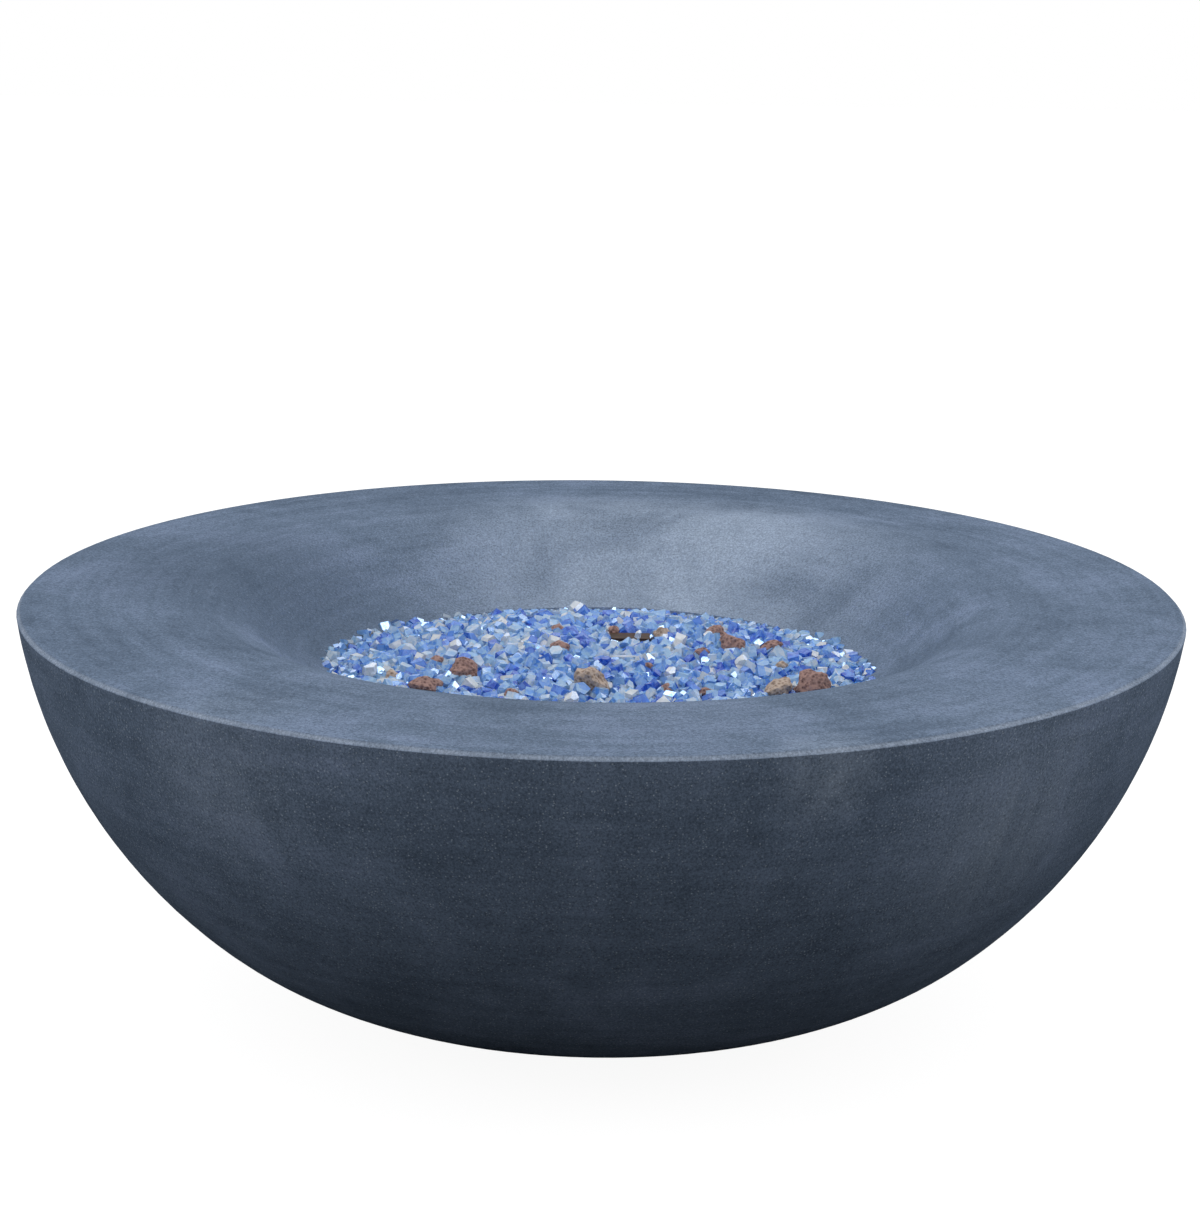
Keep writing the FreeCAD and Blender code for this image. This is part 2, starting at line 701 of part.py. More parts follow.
def make_ring_burner():
    """Double ring of hollow channel on four hollow spokes, fed through the hub by a threaded nipple."""
    burner = new_body("ring_burner")
    hub = sketch_on(burner, "XZ_Plane", "hub_profile")
    draw_outline(hub, [
        ("0", "places.nipple_end_z"),
        ("dims.nipple_radius", "places.nipple_end_z"),
        ("dims.nipple_radius", "places.pan_floor_z"),
        ("dims.hub_radius", "places.pan_floor_z"),
        ("dims.hub_radius", "places.ring_top_z"),
        ("0", "places.ring_top_z"),
    ])
    turn_profile(burner, hub, "hub")
    across = "2 * places.outer_ring_r"
    spoke = spoke_profile(burner, "spoke_profile", "dims.spoke_radius")
    spokes = pad(burner, spoke, "spokes", across, "Symmetric")
    pattern_round(burner, spokes, "spoke_cross", "2", 90)
    turn_profile(burner, ring_profile(burner, "ring_profile", "0"), "rings")
    bore = ring_profile(burner, "ring_bore_profile", "dims.ring_tube_sheet")
    turn_profile(burner, bore, "ring_bores", "PartDesign::Groove")
    spoke_bore = spoke_profile(burner, "spoke_bore_profile", "dims.spoke_radius - dims.ring_tube_sheet")
    spoke_bores = pocket(burner, spoke_bore, "spoke_bores", across)
    pattern_round(burner, spoke_bores, "spoke_bore_cross", "2", 90)
    feed = sketch_on(burner, "XZ_Plane", "feed_profile")
    draw_rectangle(feed, "0", "dims.nipple_bore_radius", "places.nipple_end_z - dims.overcut",
                   "places.ring_z")
    turn_profile(burner, feed, "feed_bore", "PartDesign::Groove")
    drill_ports(burner, "outer_ports", "places.outer_ring_r", "dims.outer_port_count")
    drill_ports(burner, "inner_ports", "dims.inner_ring_radius", "dims.inner_port_count")
    keep(burner, "ring_burner")


def make_burner_lock_nut():
    nut = hexagon("lock_nut_blank", "dims.lock_nut_width", "dims.lock_nut_height",
                  "places.pan_under_z - dims.lock_nut_height")
    bore = cylinder("lock_nut_bore", "dims.nipple_radius + dims.running_fit", "3 * dims.lock_nut_height",
                    "places.pan_under_z - 2 * dims.lock_nut_height")
    keep(cut("lock_nut", nut, bore), "burner_lock_nut")


# Air mixer, shutter, jet and elbow

def make_air_mixer():
    """Brass mixing tube between the jet and the burner, with a collar, a jet seat and two air windows."""
    bore = "dims.nipple_radius + dims.running_fit"
    mixer = turned_body("air_mixer", [
        ("dims.jet_radius + dims.running_fit", "places.mixer_bottom_z"),
        ("dims.mixer_collar_radius", "places.mixer_bottom_z"),
        ("dims.mixer_collar_radius", "places.mixer_bottom_z + dims.mixer_collar_height"),
        ("dims.mixer_radius", "places.mixer_bottom_z + dims.mixer_collar_height"),
        ("dims.mixer_radius", "places.mixer_top_z"),
        (bore, "places.mixer_top_z"),
        (bore, "places.mixer_bottom_z + dims.mixer_floor"),
        ("dims.jet_radius + dims.running_fit", "places.mixer_bottom_z + dims.mixer_floor"),
    ])
    window = sketch_on(mixer, "XZ_Plane", "mixer_window")
    draw_rectangle(window, "-dims.window_width / 2", "dims.window_width / 2",
                   "places.window_z", "places.window_z + dims.window_height")
    pocket(mixer, window, "mixer_windows", "4 * dims.mixer_radius")
    keep(mixer, "air_mixer")


def make_air_shutter():
    """Sleeve with two windows that turns round the mixer to open and close its air windows."""
    inner = "dims.mixer_radius + dims.running_fit"
    top = "places.shutter_z + dims.shutter_height"
    shutter = turned_body("air_shutter", [
        (inner, "places.shutter_z"),
        (f"{inner} + dims.shutter_sheet", "places.shutter_z"),
        (f"{inner} + dims.shutter_sheet", top),
        (inner, top),
    ])
    window = sketch_on(shutter, "XZ_Plane", "shutter_window")
    draw_rectangle(window, "-dims.window_width / 2", "dims.window_width / 2",
                   "places.window_z", "places.window_z + dims.window_height")
    pocket(shutter, window, "shutter_windows", "4 * dims.mixer_radius")
    tab = sketch_on(shutter, "XZ_Plane", "shutter_tab")
    reach = f"{inner} + dims.shutter_sheet / 2"
    draw_rectangle(tab, reach, f"{reach} + dims.shutter_tab", "places.shutter_z", top)
    pad(shutter, tab, "shutter_tab_plate", "dims.shutter_sheet", "Symmetric")
    keep(shutter, "air_shutter")


def make_gas_orifice():
    """Brass jet that screws through the mixer's floor into the elbow, with a hexagon inside the mixer."""
    top = "places.mixer_bottom_z + dims.mixer_floor"
    thread = cylinder("jet_thread", "dims.jet_radius", "dims.jet_length",
                      f"{top} - dims.jet_length + dims.mixer_floor")
    hexagon_head = hexagon("jet_head", "dims.jet_hex_width", "dims.mixer_floor / 2", top)
    bore = cylinder("jet_bore", "dims.jet_radius / 2", "dims.jet_length - dims.jet_radius",
                    f"{top} - dims.jet_length + dims.mixer_floor - dims.overcut")
    hole = cylinder("jet_hole", "dims.jet_hole_radius", "2 * dims.jet_length", f"{top} - dims.jet_length")
    keep(cut("gas_orifice", fuse("jet_blank", thread, hexagon_head), bore, hole), "gas_orifice")


def make_orifice_elbow():
    """Brass elbow that turns the gas up into the jet and carries the mixer on its top face."""
    bottom = "places.mixer_bottom_z - dims.elbow_height"
    column = cylinder("elbow_column", "dims.elbow_radius", "dims.elbow_height", bottom)
    arm = lying_cylinder("elbow_arm", "dims.port_boss_radius", "dims.elbow_reach", "down", "places.elbow_z")
    seat = cylinder("elbow_jet_seat", "dims.jet_radius + dims.running_fit", "dims.elbow_height",
                    "places.mixer_bottom_z + 2 * dims.mixer_floor - dims.jet_length - dims.loose_fit")
    way = lying_cylinder("elbow_way", "dims.gas_way_radius", "dims.elbow_reach + dims.overcut", "down",
                         "places.elbow_z")
    rise = cylinder("elbow_rise", "dims.gas_way_radius", "dims.elbow_height / 2", "places.elbow_z")
    keep(cut("orifice_elbow", fuse("elbow_blank", column, arm), seat, way, rise), "orifice_elbow")


# Pilot bracket with its electrode and flame sensor

def make_pilot_hood():
    """Bent steel bracket: a foot on the pan's floor, an upright back and a hood over the probes."""
    half = "dims.hood_reach / 2"
    hood = new_body("pilot_hood")
    section = sketch_on(hood, "YZ_Plane", "hood_section")
    front, rear = f"dims.pilot_y - {half}", f"dims.pilot_y + {half}"
    draw_outline(section, [
        (front, "places.pan_floor_z"),
        (rear, "places.pan_floor_z"),
        (rear, "places.hood_top_z"),
        (front, "places.hood_top_z"),
        (front, "places.hood_top_z - dims.hood_lip"),
        (f"{front} + dims.hood_sheet", "places.hood_top_z - dims.hood_lip"),
        (f"{front} + dims.hood_sheet", "places.hood_top_z - dims.hood_sheet"),
        (f"{rear} - dims.hood_sheet", "places.hood_top_z - dims.hood_sheet"),
        (f"{rear} - dims.hood_sheet", "places.probe_z"),
        (front, "places.probe_z"),
    ])
    pad(hood, section, "hood_strip", "dims.hood_width", "Symmetric")
    holes = sketch_on(hood, "XY_Plane", "hood_foot_holes", "places.pan_floor_z")
    for side, radius in ((-1, "dims.electrode_radius"), (1, "dims.sensor_radius")):
        draw_circle(holes, f"{side} * dims.probe_spacing / 2", "dims.pilot_y",
                    f"{radius} + dims.hole_fit / 2")
    for side in (-1, 1):
        draw_circle(holes, f"{side} * dims.bracket_screw_spacing / 2", "places.bracket_screw_y",
                    "dims.screw_radius + dims.running_fit")
    pocket(hood, holes, "hood_foot_holes_cut", "4 * dims.hood_sheet")
    place(hood, "dims.pilot_x")
    keep(hood, "pilot_hood")


def bracket_screw(name, across):
    head = cylinder(name + "_head", "dims.screw_head_radius", "dims.screw_head_height", "places.probe_z",
                    across, "places.bracket_screw_y")
    shank = cylinder(name + "_shank", "dims.screw_radius", "dims.screw_length",
                     "places.probe_z + dims.overcut - dims.screw_length", across, "places.bracket_screw_y")
    return fuse(name, head, shank)


def make_bracket_screws():
    screws = [bracket_screw(f"bracket_screw_{number}",
                            f"dims.pilot_x + {side} * dims.bracket_screw_spacing / 2")
              for number, side in enumerate((-1, 1))]
    keep(group("bracket_screws", screws), "bracket_screws")


def probe_body(name, radius, length, drop, bore=None):
    """Upright round probe that passes through the pan's floor and rests on a collar."""
    bottom = f"places.probe_z - {drop}"
    top = f"{bottom} + {length}"
    middle = f"{radius} + dims.probe_collar"
    collar_top = "places.probe_z + dims.probe_collar_height"
    inner = bore or "0"
    corners = [
        (inner, bottom),
        (radius, bottom),
        (radius, "places.probe_z"),
        (middle, "places.probe_z"),
        (middle, collar_top),
        (radius, collar_top),
        (radius, top),
        (inner, top),
    ]
    return turned_body(name, corners)


def make_probes():
    electrode_x = "dims.pilot_x - dims.probe_spacing / 2"
    sensor_x = "dims.pilot_x + dims.probe_spacing / 2"
    insulator = probe_body("electrode_insulator", "dims.electrode_radius", "dims.electrode_length",
                           "dims.electrode_drop", "dims.spark_rod_radius + dims.running_fit")
    keep(place(insulator, electrode_x, "dims.pilot_y"), "electrode_insulator")
    rod = cylinder("spark_rod", "dims.spark_rod_radius", "dims.electrode_length + dims.spark_rod_reach",
                   "places.probe_z - dims.electrode_drop", electrode_x, "dims.pilot_y")
    keep(rod, "spark_electrode")
    sensor = probe_body("flame_sensor", "dims.sensor_radius", "dims.sensor_length", "dims.sensor_drop")
    keep(place(sensor, sensor_x, "dims.pilot_y"), "flame_sensor")


# Control panel, its screws and anchors

def panel_holes(body, height):
    sketch = sketch_on(body, "XY_Plane", "panel_holes", height)
    draw_circle(sketch, "0", "0", "dims.stem_hole_radius")
    draw_circle(sketch, "dims.control_spacing", "0", "dims.igniter_radius + dims.hole_fit")
    draw_circle(sketch, "-dims.control_spacing", "0", "dims.inlet_radius + dims.hole_fit")
    for across, down in panel_corners() + valve_screw_places() + shield_screw_places():
        draw_circle(sketch, across, down, "dims.screw_radius + dims.running_fit")
    return sketch


def valve_screw_places():
    reach = "(dims.stem_radius + 2 * dims.screw_head_radius)"
    return [(f"{side} * {reach}", "0") for side in (-1, 1)]


def shield_screw_places():
    across = "(dims.control_spacing / 2)"
    return [(f"{side} * {across}", "places.shield_tab_y") for side in (-1, 1)]


def make_control_panel():
    panel = new_body("control_panel")
    half_length, half_width = "dims.panel_length / 2", "dims.panel_width / 2"
    straight, upright = f"({half_length} - dims.panel_corner)", f"({half_width} - dims.panel_corner)"
    plate = sketch_on(panel, "XY_Plane", "panel_outline", "places.panel_back")
    draw_outline(plate, [
        (f"-{straight}", f"-{half_width}"),
        (straight, f"-{half_width}"),
        (half_length, f"-{upright}"),
        (half_length, upright),
        (straight, half_width),
        (f"-{straight}", half_width),
        (f"-{half_length}", upright),
        (f"-{half_length}", f"-{upright}"),
    ], {number: ("dims.panel_corner", 1) for number in (1, 3, 5, 7)})
    pad(panel, plate, "panel_plate", "dims.panel_sheet")
    pocket(panel, panel_holes(panel, "places.panel_back"), "panel_holes_cut", "4 * dims.panel_sheet")
    keep(on_panel(panel), "control_panel")


def panel_screw(name, across, down):
    head = cylinder(name + "_head", "dims.screw_head_radius", "dims.screw_head_height", "places.panel_front",
                    across, down)
    shank = cylinder(name + "_shank", "dims.screw_radius", "dims.screw_length",
                     "places.panel_front + dims.overcut - dims.screw_length", across, down)
    return fuse(name, head, shank)


def make_panel_screws():
    for label, spots in (("panel_screws", panel_corners()), ("valve_screws", valve_screw_places()),
                         ("shield_screws", shield_screw_places())):
        screws = [panel_screw(f"{label}_{number}", *spot) for number, spot in enumerate(spots)]
        keep(on_panel(group(label, screws)), label)


def make_panel_anchors():
    """Threaded brass inserts cast into the concrete behind the panel."""
    anchors = []
    for number, (across, down) in enumerate(panel_corners()):
        blank = cylinder(f"anchor_{number}", "dims.anchor_radius", "dims.anchor_length",
                         "places.panel_back - dims.anchor_length", across, down)
        bore = cylinder(f"anchor_bore_{number}", "dims.screw_radius + dims.running_fit",
                        "dims.anchor_length", "places.panel_back - dims.anchor_length + dims.overcut",
                        across, down)
        anchors.append(cut(f"anchor_cut_{number}", blank, bore))
    keep(on_panel(group("panel_anchors", anchors)), "panel_anchors")


def make_heat_shield():
    """Bent sheet over the controls, hung from the panel by two tabs."""
    shield = new_body("heat_shield")
    half = "dims.shield_length / 2"
    section = sketch_on(shield, "XY_Plane", "shield_section", "places.panel_back - dims.shield_reach")
    draw_outline(section, [
        (f"-{half}", "places.shield_y"),
        (half, "places.shield_y"),
        (half, "places.shield_y + dims.shield_wing"),
        (f"{half} - dims.shield_sheet", "places.shield_y + dims.shield_wing"),
        (f"{half} - dims.shield_sheet", "places.shield_y + dims.shield_sheet"),
        (f"dims.shield_sheet - {half}", "places.shield_y + dims.shield_sheet"),
        (f"dims.shield_sheet - {half}", "places.shield_y + dims.shield_wing"),
        (f"-{half}", "places.shield_y + dims.shield_wing"),
    ])
    pad(shield, section, "shield_bend", "dims.shield_reach")
    tabs = sketch_on(shield, "XY_Plane", "shield_tabs", "places.panel_back - dims.shield_sheet")
    for side in (-1, 1):
        middle = f"{side} * dims.control_spacing / 2"
        draw_rectangle(tabs, f"{middle} - dims.shield_tab", f"{middle} + dims.shield_tab",
                       "places.shield_y", "places.shield_y + dims.shield_tab")
    pad(shield, tabs, "shield_tab_plates", "dims.shield_sheet")
    holes = sketch_on(shield, "XY_Plane", "shield_tab_holes", "places.panel_back")
    for across, down in shield_screw_places():
        draw_circle(holes, across, down, "dims.screw_radius + dims.running_fit")
    pocket(shield, holes, "shield_tab_holes_cut", "4 * dims.shield_sheet")
    keep(on_panel(shield), "heat_shield")


# Gas valve

def cap_screw_places():
    reach = "(dims.valve_width / 2 - dims.cap_screw_inset)"
    return [(f"{side} * {reach}", f"-{side} * {reach}") for side in (-1, 1)]


def make_valve_body():
    """Cast valve body behind the panel: a plug chamber, a stem bore and two threaded gas ports."""
    blank = block("valve_blank", "dims.valve_width", "dims.valve_width", "dims.valve_length",
                  "places.valve_rear")
    inlet, outlet = [lying_cylinder(f"valve_port_{direction}", "dims.port_boss_radius", "places.port_reach",
                                    direction, "places.port_level") for direction in ("left", "down")]
    chamber = cylinder("plug_chamber", "dims.plug_radius",
                       "dims.valve_length - dims.valve_shoulder + dims.overcut",
                       "places.valve_rear - dims.overcut")
    stem_bore = cylinder("stem_bore", "dims.stem_radius + dims.running_fit",
                         "dims.valve_shoulder + 2 * dims.overcut", "places.plug_front - dims.overcut")
    ways = [lying_cylinder(f"valve_way_{direction}", "dims.gas_way_radius",
                           "places.port_reach + dims.overcut", direction, "places.port_level")
            for direction in ("left", "down")]
    screw_holes = [cylinder(f"valve_screw_hole_{number}", "dims.screw_radius + dims.running_fit",
                            "dims.screw_length", "places.panel_front - dims.screw_length", across, down)
                   for number, (across, down) in enumerate(valve_screw_places())]
    cap_holes = [cylinder(f"valve_cap_hole_{number}", "dims.screw_radius + dims.running_fit",
                          "dims.screw_length", "places.valve_rear - dims.overcut", across, down)
                 for number, (across, down) in enumerate(cap_screw_places())]
    blank_with_ports = fuse("valve_blank_with_ports", blank, inlet, outlet)
    body = cut("valve_body", blank_with_ports, chamber, stem_bore, *ways, *screw_holes, *cap_holes)
    keep(on_panel(body), "valve_body")


def make_valve_cap():
    """Plate that closes the plug chamber, held by two screws in opposite corners."""
    bottom = "places.valve_rear - dims.valve_cap_height"
    plate = block("valve_cap_plate", "dims.valve_width", "dims.valve_width", "dims.valve_cap_height", bottom)
    bevel = value("dims.valve_cap_height")
    bevelled = doc.addObject("Part::Chamfer", "valve_cap_corners")
    bevelled.Base = plate
    bevelled.Edges = [(number, bevel, bevel) for number in (1, 3, 5, 7)]
    holes = []
    screws = []
    for number, (across, down) in enumerate(cap_screw_places()):
        holes.append(cylinder(f"cap_hole_{number}", "dims.screw_radius + dims.running_fit",
                              "3 * dims.valve_cap_height", "places.valve_rear - 2 * dims.valve_cap_height",
                              across, down))
        head = cylinder(f"cap_screw_head_{number}", "dims.screw_head_radius", "dims.screw_head_height",
                        f"{bottom} - dims.screw_head_height", across, down)
        shank = cylinder(f"cap_screw_shank_{number}", "dims.screw_radius", "dims.screw_length",
                         f"{bottom} - dims.overcut", across, down)
        screws.append(fuse(f"cap_screw_{number}", head, shank))
    keep(on_panel(cut("valve_cap", bevelled, *holes)), "valve_cap")
    keep(on_panel(group("valve_cap_screws", screws)), "valve_cap_screws")


def stem_shape(name, radius, bottom, length, flat):
    """Round bar with one flat along it, as a solid or as the tool for its hole."""
    bar = cylinder(name + "_bar", radius, length, bottom)
    slab = block(name + "_slab", f"4 * {radius}", f"2 * {radius}", f"{length} + 2 * dims.overcut",
                 f"{bottom} - dims.overcut", "0", f"{flat} + {radius}")
    return cut(name, bar, slab)


def make_valve_plug():
    """Plug that turns in the valve: a quarter turn of the knob brings its two gas ways to the ports."""
    blank = cylinder("plug_blank", "dims.plug_radius - dims.running_fit",
                     "dims.valve_length - dims.valve_shoulder - dims.loose_fit",
                     "places.valve_rear + dims.loose_fit / 2")
    socket = stem_shape("stem_socket", "dims.stem_radius + dims.running_fit",
                        "places.panel_back - dims.stem_in - dims.push_travel - dims.overcut",
                        "dims.stem_in", "dims.stem_radius - dims.stem_flat + dims.running_fit")
    ways = [lying_cylinder(f"plug_way_{direction}", "dims.gas_way_radius",
                           "dims.plug_radius + dims.overcut", direction, "places.port_level")
            for direction in ("right", "down")]
    plug = cut("valve_plug", blank, socket, *ways)
    keep(on_panel(plug), "valve_plug")


def make_valve_stem():
    stem = stem_shape("valve_stem", "dims.stem_radius", "places.panel_back - dims.stem_in",
                      "dims.stem_in + dims.stem_out", "dims.stem_radius - dims.stem_flat")
    keep(on_panel(stem), "valve_stem")


def make_control_knob():
    """Moulded knob: a hollow skirted cap with grip flutes, a pointer groove and a boss for the stem."""
    top = "places.knob_rear + dims.knob_height"
    skirt_top = "places.knob_rear + dims.knob_skirt"
    grip = "dims.knob_radius - dims.knob_grip_depth"
    inner = f"{grip} - dims.knob_wall"
    roof = f"{top} - dims.knob_wall"
    knob = turned_body("control_knob", [
        ("0", "places.knob_rear"),
        ("dims.knob_boss_radius", "places.knob_rear"),
        ("dims.knob_boss_radius", roof),
        (inner, roof),
        (inner, "places.knob_rear"),
        ("dims.knob_radius", "places.knob_rear"),
        ("dims.knob_radius", skirt_top),
        (grip, f"{skirt_top} + dims.knob_grip_depth"),
        (f"{grip} - dims.overcut", f"{top} - dims.knob_grip_depth"),
        (f"{grip} - dims.overcut - dims.knob_grip_depth", top),
        ("0", top),
    ])
    flute = sketch_on(knob, "XY_Plane", "knob_flute", f"{skirt_top} + dims.knob_grip_depth")
    draw_circle(flute, f"{grip} + dims.knob_grip_radius - dims.knob_grip_depth", "0",
                "dims.knob_grip_radius")
    flute_cut = pocket(knob, flute, "knob_flute_cut", "dims.knob_height", "One side")
    flute_cut.Reversed = True
    pattern_round(knob, flute_cut, "knob_flutes", "dims.knob_grip_count")
    pointer = sketch_on(knob, "XY_Plane", "knob_pointer", top)
    draw_rectangle(pointer, "-dims.overcut", "dims.overcut", f"-{grip}", "-dims.knob_boss_radius")
    pocket(knob, pointer, "knob_pointer_cut", "2 * dims.overcut")
    socket = sketch_on(knob, "XY_Plane", "knob_socket", "places.knob_rear - dims.overcut")
    hole = "(dims.stem_radius + dims.running_fit)"
    flat = "(dims.stem_radius - dims.stem_flat + dims.running_fit)"
    corner = f"sqrt({hole} ^ 2 - {flat} ^ 2)"
    ends = [(f"-{corner}", flat), ("0", f"-{hole}"), (corner, flat)]
    draw_outline(socket, ends, {0: (hole, 1), 1: (hole, 1)})
    stem_depth = "places.panel_back + dims.stem_out - places.knob_rear + dims.overcut + dims.loose_fit"
    socket_cut = pocket(knob, socket, "knob_socket_cut", stem_depth, "One side")
    socket_cut.Reversed = True
    keep(on_panel(knob), "control_knob")


# Battery igniter

def make_igniter():
    """Battery spark unit: a housing through the panel, its nut, a screwed cap, a push button and a cell."""
    rear = "places.panel_front - dims.igniter_length"
    flange_top = "places.panel_front + dims.igniter_flange_height"
    spigot_top = f"{flange_top} + dims.spigot_height"
    bore = "dims.battery_radius + dims.battery_gap"
    floor = f"{spigot_top} - dims.battery_length - 2 * dims.button_stand"
    housing = turned_body("igniter_housing", [
        ("0", rear),
        ("dims.igniter_radius", rear),
        ("dims.igniter_radius", "places.panel_front"),
        ("dims.igniter_flange_radius", "places.panel_front"),
        ("dims.igniter_flange_radius", flange_top),
        ("dims.spigot_radius", flange_top),
        ("dims.spigot_radius", spigot_top),
        (bore, spigot_top),
        (bore, floor),
        ("0", floor),
    ])
    blade = sketch_on(housing, "XY_Plane", "terminal_outline", rear)
    draw_rectangle(blade, "-dims.terminal_width / 2", "dims.terminal_width / 2",
                   "-dims.terminal_sheet / 2", "dims.terminal_sheet / 2")
    terminal = pad(housing, blade, "terminal_blade", "dims.terminal_length")
    terminal.Reversed = True
    keep(on_panel(housing, "dims.control_spacing"), "igniter_housing")
    nut = hexagon("igniter_nut_blank", "dims.igniter_nut_width", "dims.igniter_nut_height",
                  "places.panel_back - dims.igniter_nut_height")
    nut_bore = cylinder("igniter_nut_bore", "dims.igniter_radius + dims.running_fit",
                        "3 * dims.igniter_nut_height", "places.panel_back - 2 * dims.igniter_nut_height")
    keep(on_panel(cut("igniter_nut", nut, nut_bore), "dims.control_spacing"), "igniter_nut")
    cap_top = f"{flange_top} + dims.cap_height"
    cap_bore = "dims.spigot_radius + dims.running_fit"
    cap = turned_body("igniter_cap", [
        (cap_bore, flange_top),
        ("dims.cap_radius", flange_top),
        ("dims.cap_radius", f"{cap_top} - dims.overcut"),
        ("dims.cap_radius - dims.overcut", cap_top),
        ("dims.button_radius + dims.running_fit", cap_top),
        ("dims.button_radius + dims.running_fit", f"{cap_top} - dims.cap_lip"),
        (cap_bore, f"{cap_top} - dims.cap_lip"),
    ])
    keep(on_panel(cap, "dims.control_spacing"), "igniter_cap")
    shoulder = f"{cap_top} - dims.cap_lip - dims.loose_fit"
    button_top = f"{cap_top} + dims.button_stand"
    button = turned_body("igniter_button", [
        ("0", f"{shoulder} - dims.button_flange_height"),
        ("dims.button_flange_radius", f"{shoulder} - dims.button_flange_height"),
        ("dims.button_flange_radius", shoulder),
        ("dims.button_radius", shoulder),
        ("dims.button_radius", f"{button_top} - dims.overcut"),
        ("dims.button_radius - dims.overcut", button_top),
        ("0", button_top),
    ])
    keep(on_panel(button, "dims.control_spacing"), "igniter_button")
    nub = "dims.battery_radius / 3"
    cell_top = f"{floor} + dims.battery_length"
    cell = turned_body("battery_cell", [
        ("0", floor),
        ("dims.battery_radius", floor),
        ("dims.battery_radius", f"{cell_top} - dims.overcut"),
        (nub, f"{cell_top} - dims.overcut"),
        (nub, cell_top),
        ("0", cell_top),
    ])
    keep(on_panel(cell, "dims.control_spacing"), "battery_cell")


# Gas inlet and tubes

def make_gas_inlet():
    """Bulkhead fitting: a flare thread outside, a hexagon on the panel and a tail with a lock nut inside."""
    tail_end = "places.panel_back - dims.inlet_tail"
    tip = "places.panel_front + dims.inlet_hex_height + dims.inlet_reach"
    stub = turned_body("inlet_stub", [
        ("dims.inlet_bore_radius", tail_end),
        ("dims.inlet_radius", tail_end),
        ("dims.inlet_radius", f"{tip} - dims.inlet_radius + dims.inlet_bore_radius + dims.overcut"),
        ("dims.inlet_bore_radius + dims.overcut", tip),
        ("dims.inlet_bore_radius", tip),
    ])
    ring = hexagon("inlet_hexagon", "dims.inlet_hex_width", "dims.inlet_hex_height", "places.panel_front")
    hole = cylinder("inlet_hexagon_hole", "dims.inlet_radius - dims.overcut", "2 * dims.inlet_hex_height",
                    "places.panel_front - dims.overcut")
    fitting = fuse("gas_inlet", stub, cut("inlet_hexagon_ring", ring, hole))
    keep(on_panel(fitting, "-dims.control_spacing"), "gas_inlet_fitting")
    nut = hexagon("inlet_nut_blank", "dims.inlet_hex_width", "dims.inlet_nut_height",
                  "places.panel_back - dims.inlet_nut_height")
    nut_bore = cylinder("inlet_nut_bore", "dims.inlet_radius + dims.running_fit",
                        "3 * dims.inlet_nut_height", "places.panel_back - 2 * dims.inlet_nut_height")
    keep(on_panel(cut("inlet_lock_nut", nut, nut_bore), "-dims.control_spacing"), "inlet_lock_nut")


def bent_path(points, bends):
    """Straight runs through the points, joined by tangent arcs with the given radii at the inner points."""
    edges = []
    last = points[0]
    for number, corner in enumerate(points[1:-1]):
        before = (corner - points[number]).normalize()
        after = (points[number + 2] - corner).normalize()
        turn = before.getAngle(after)
        trim = bends[number] * math.tan(turn / 2)
        start = corner - before * trim
        end = corner + after * trim
        inward = (after - before).normalize()
        middle = corner + inward * (bends[number] / math.cos(turn / 2) - bends[number])
        if (start - last).Length > value("dims.running_fit"):
            edges.append(Part.LineSegment(last, start).toShape())
        edges.append(Part.Arc(start, middle, end).toShape())
        last = end
    edges.append(Part.LineSegment(last, points[-1]).toShape())
    return Part.Wire(edges)


def sweep_round(path, radius):
    start = path.OrderedVertexes[0].Point
    direction = path.OrderedEdges[0].tangentAt(path.OrderedEdges[0].FirstParameter)
    profile = Part.Wire(Part.makeCircle(radius, start, direction))
    return path.makePipeShell([profile], True, False)


def tube_feature(label, points, bends, outer, bore=None):
    path = bent_path(points, bends)
    shape = sweep_round(path, outer)
    if bore:
        shape = shape.cut(sweep_round(path, bore))
    feature = doc.addObject("Part::Feature", label + "_tube")
    feature.Shape = shape
    feature.Placement = FreeCAD.Placement()
    share = shape.Volume / (math.pi * (outer ** 2 - (bore or 0) ** 2) * path.Length)
    print(f"{label}: length {path.Length:.1f} mm, volume over section times length {share:.4f}")
    return keep(feature, label)


def corner_radii(points):
    """Each bend of a lead as large as its two runs allow."""
    radii = []
    for before, corner, after in zip(points, points[1:], points[2:]):
        run = min((corner - before).Length, (after - corner).Length)
        turn = (corner - before).getAngle(after - corner)
        radii.append(0.45 * run / math.tan(turn / 2))
    print("  bend radii:", ", ".join(f"{radius:.0f}" for radius in radii))
    return radii


def tube_nut(name, up, across="0", along="0"):
    blank = hexagon(name + "_blank", "dims.tube_nut_width", "dims.tube_nut_height", up, across, along)
    bore = cylinder(name + "_bore", "dims.tube_radius + dims.running_fit", "3 * dims.tube_nut_height",
                    f"{up} - dims.tube_nut_height", across, along)
    return cut(name, blank, bore)


def turned_nut(name, direction, across, along, up):
    """Tube nut whose axis lies along the panel, against the face of a gas port."""
    nut = tube_nut(name, "0")
    holder = group(name + "_turned", [nut])
    holder.Placement.Rotation = LYING[direction]
    return place(holder, across, along, up)


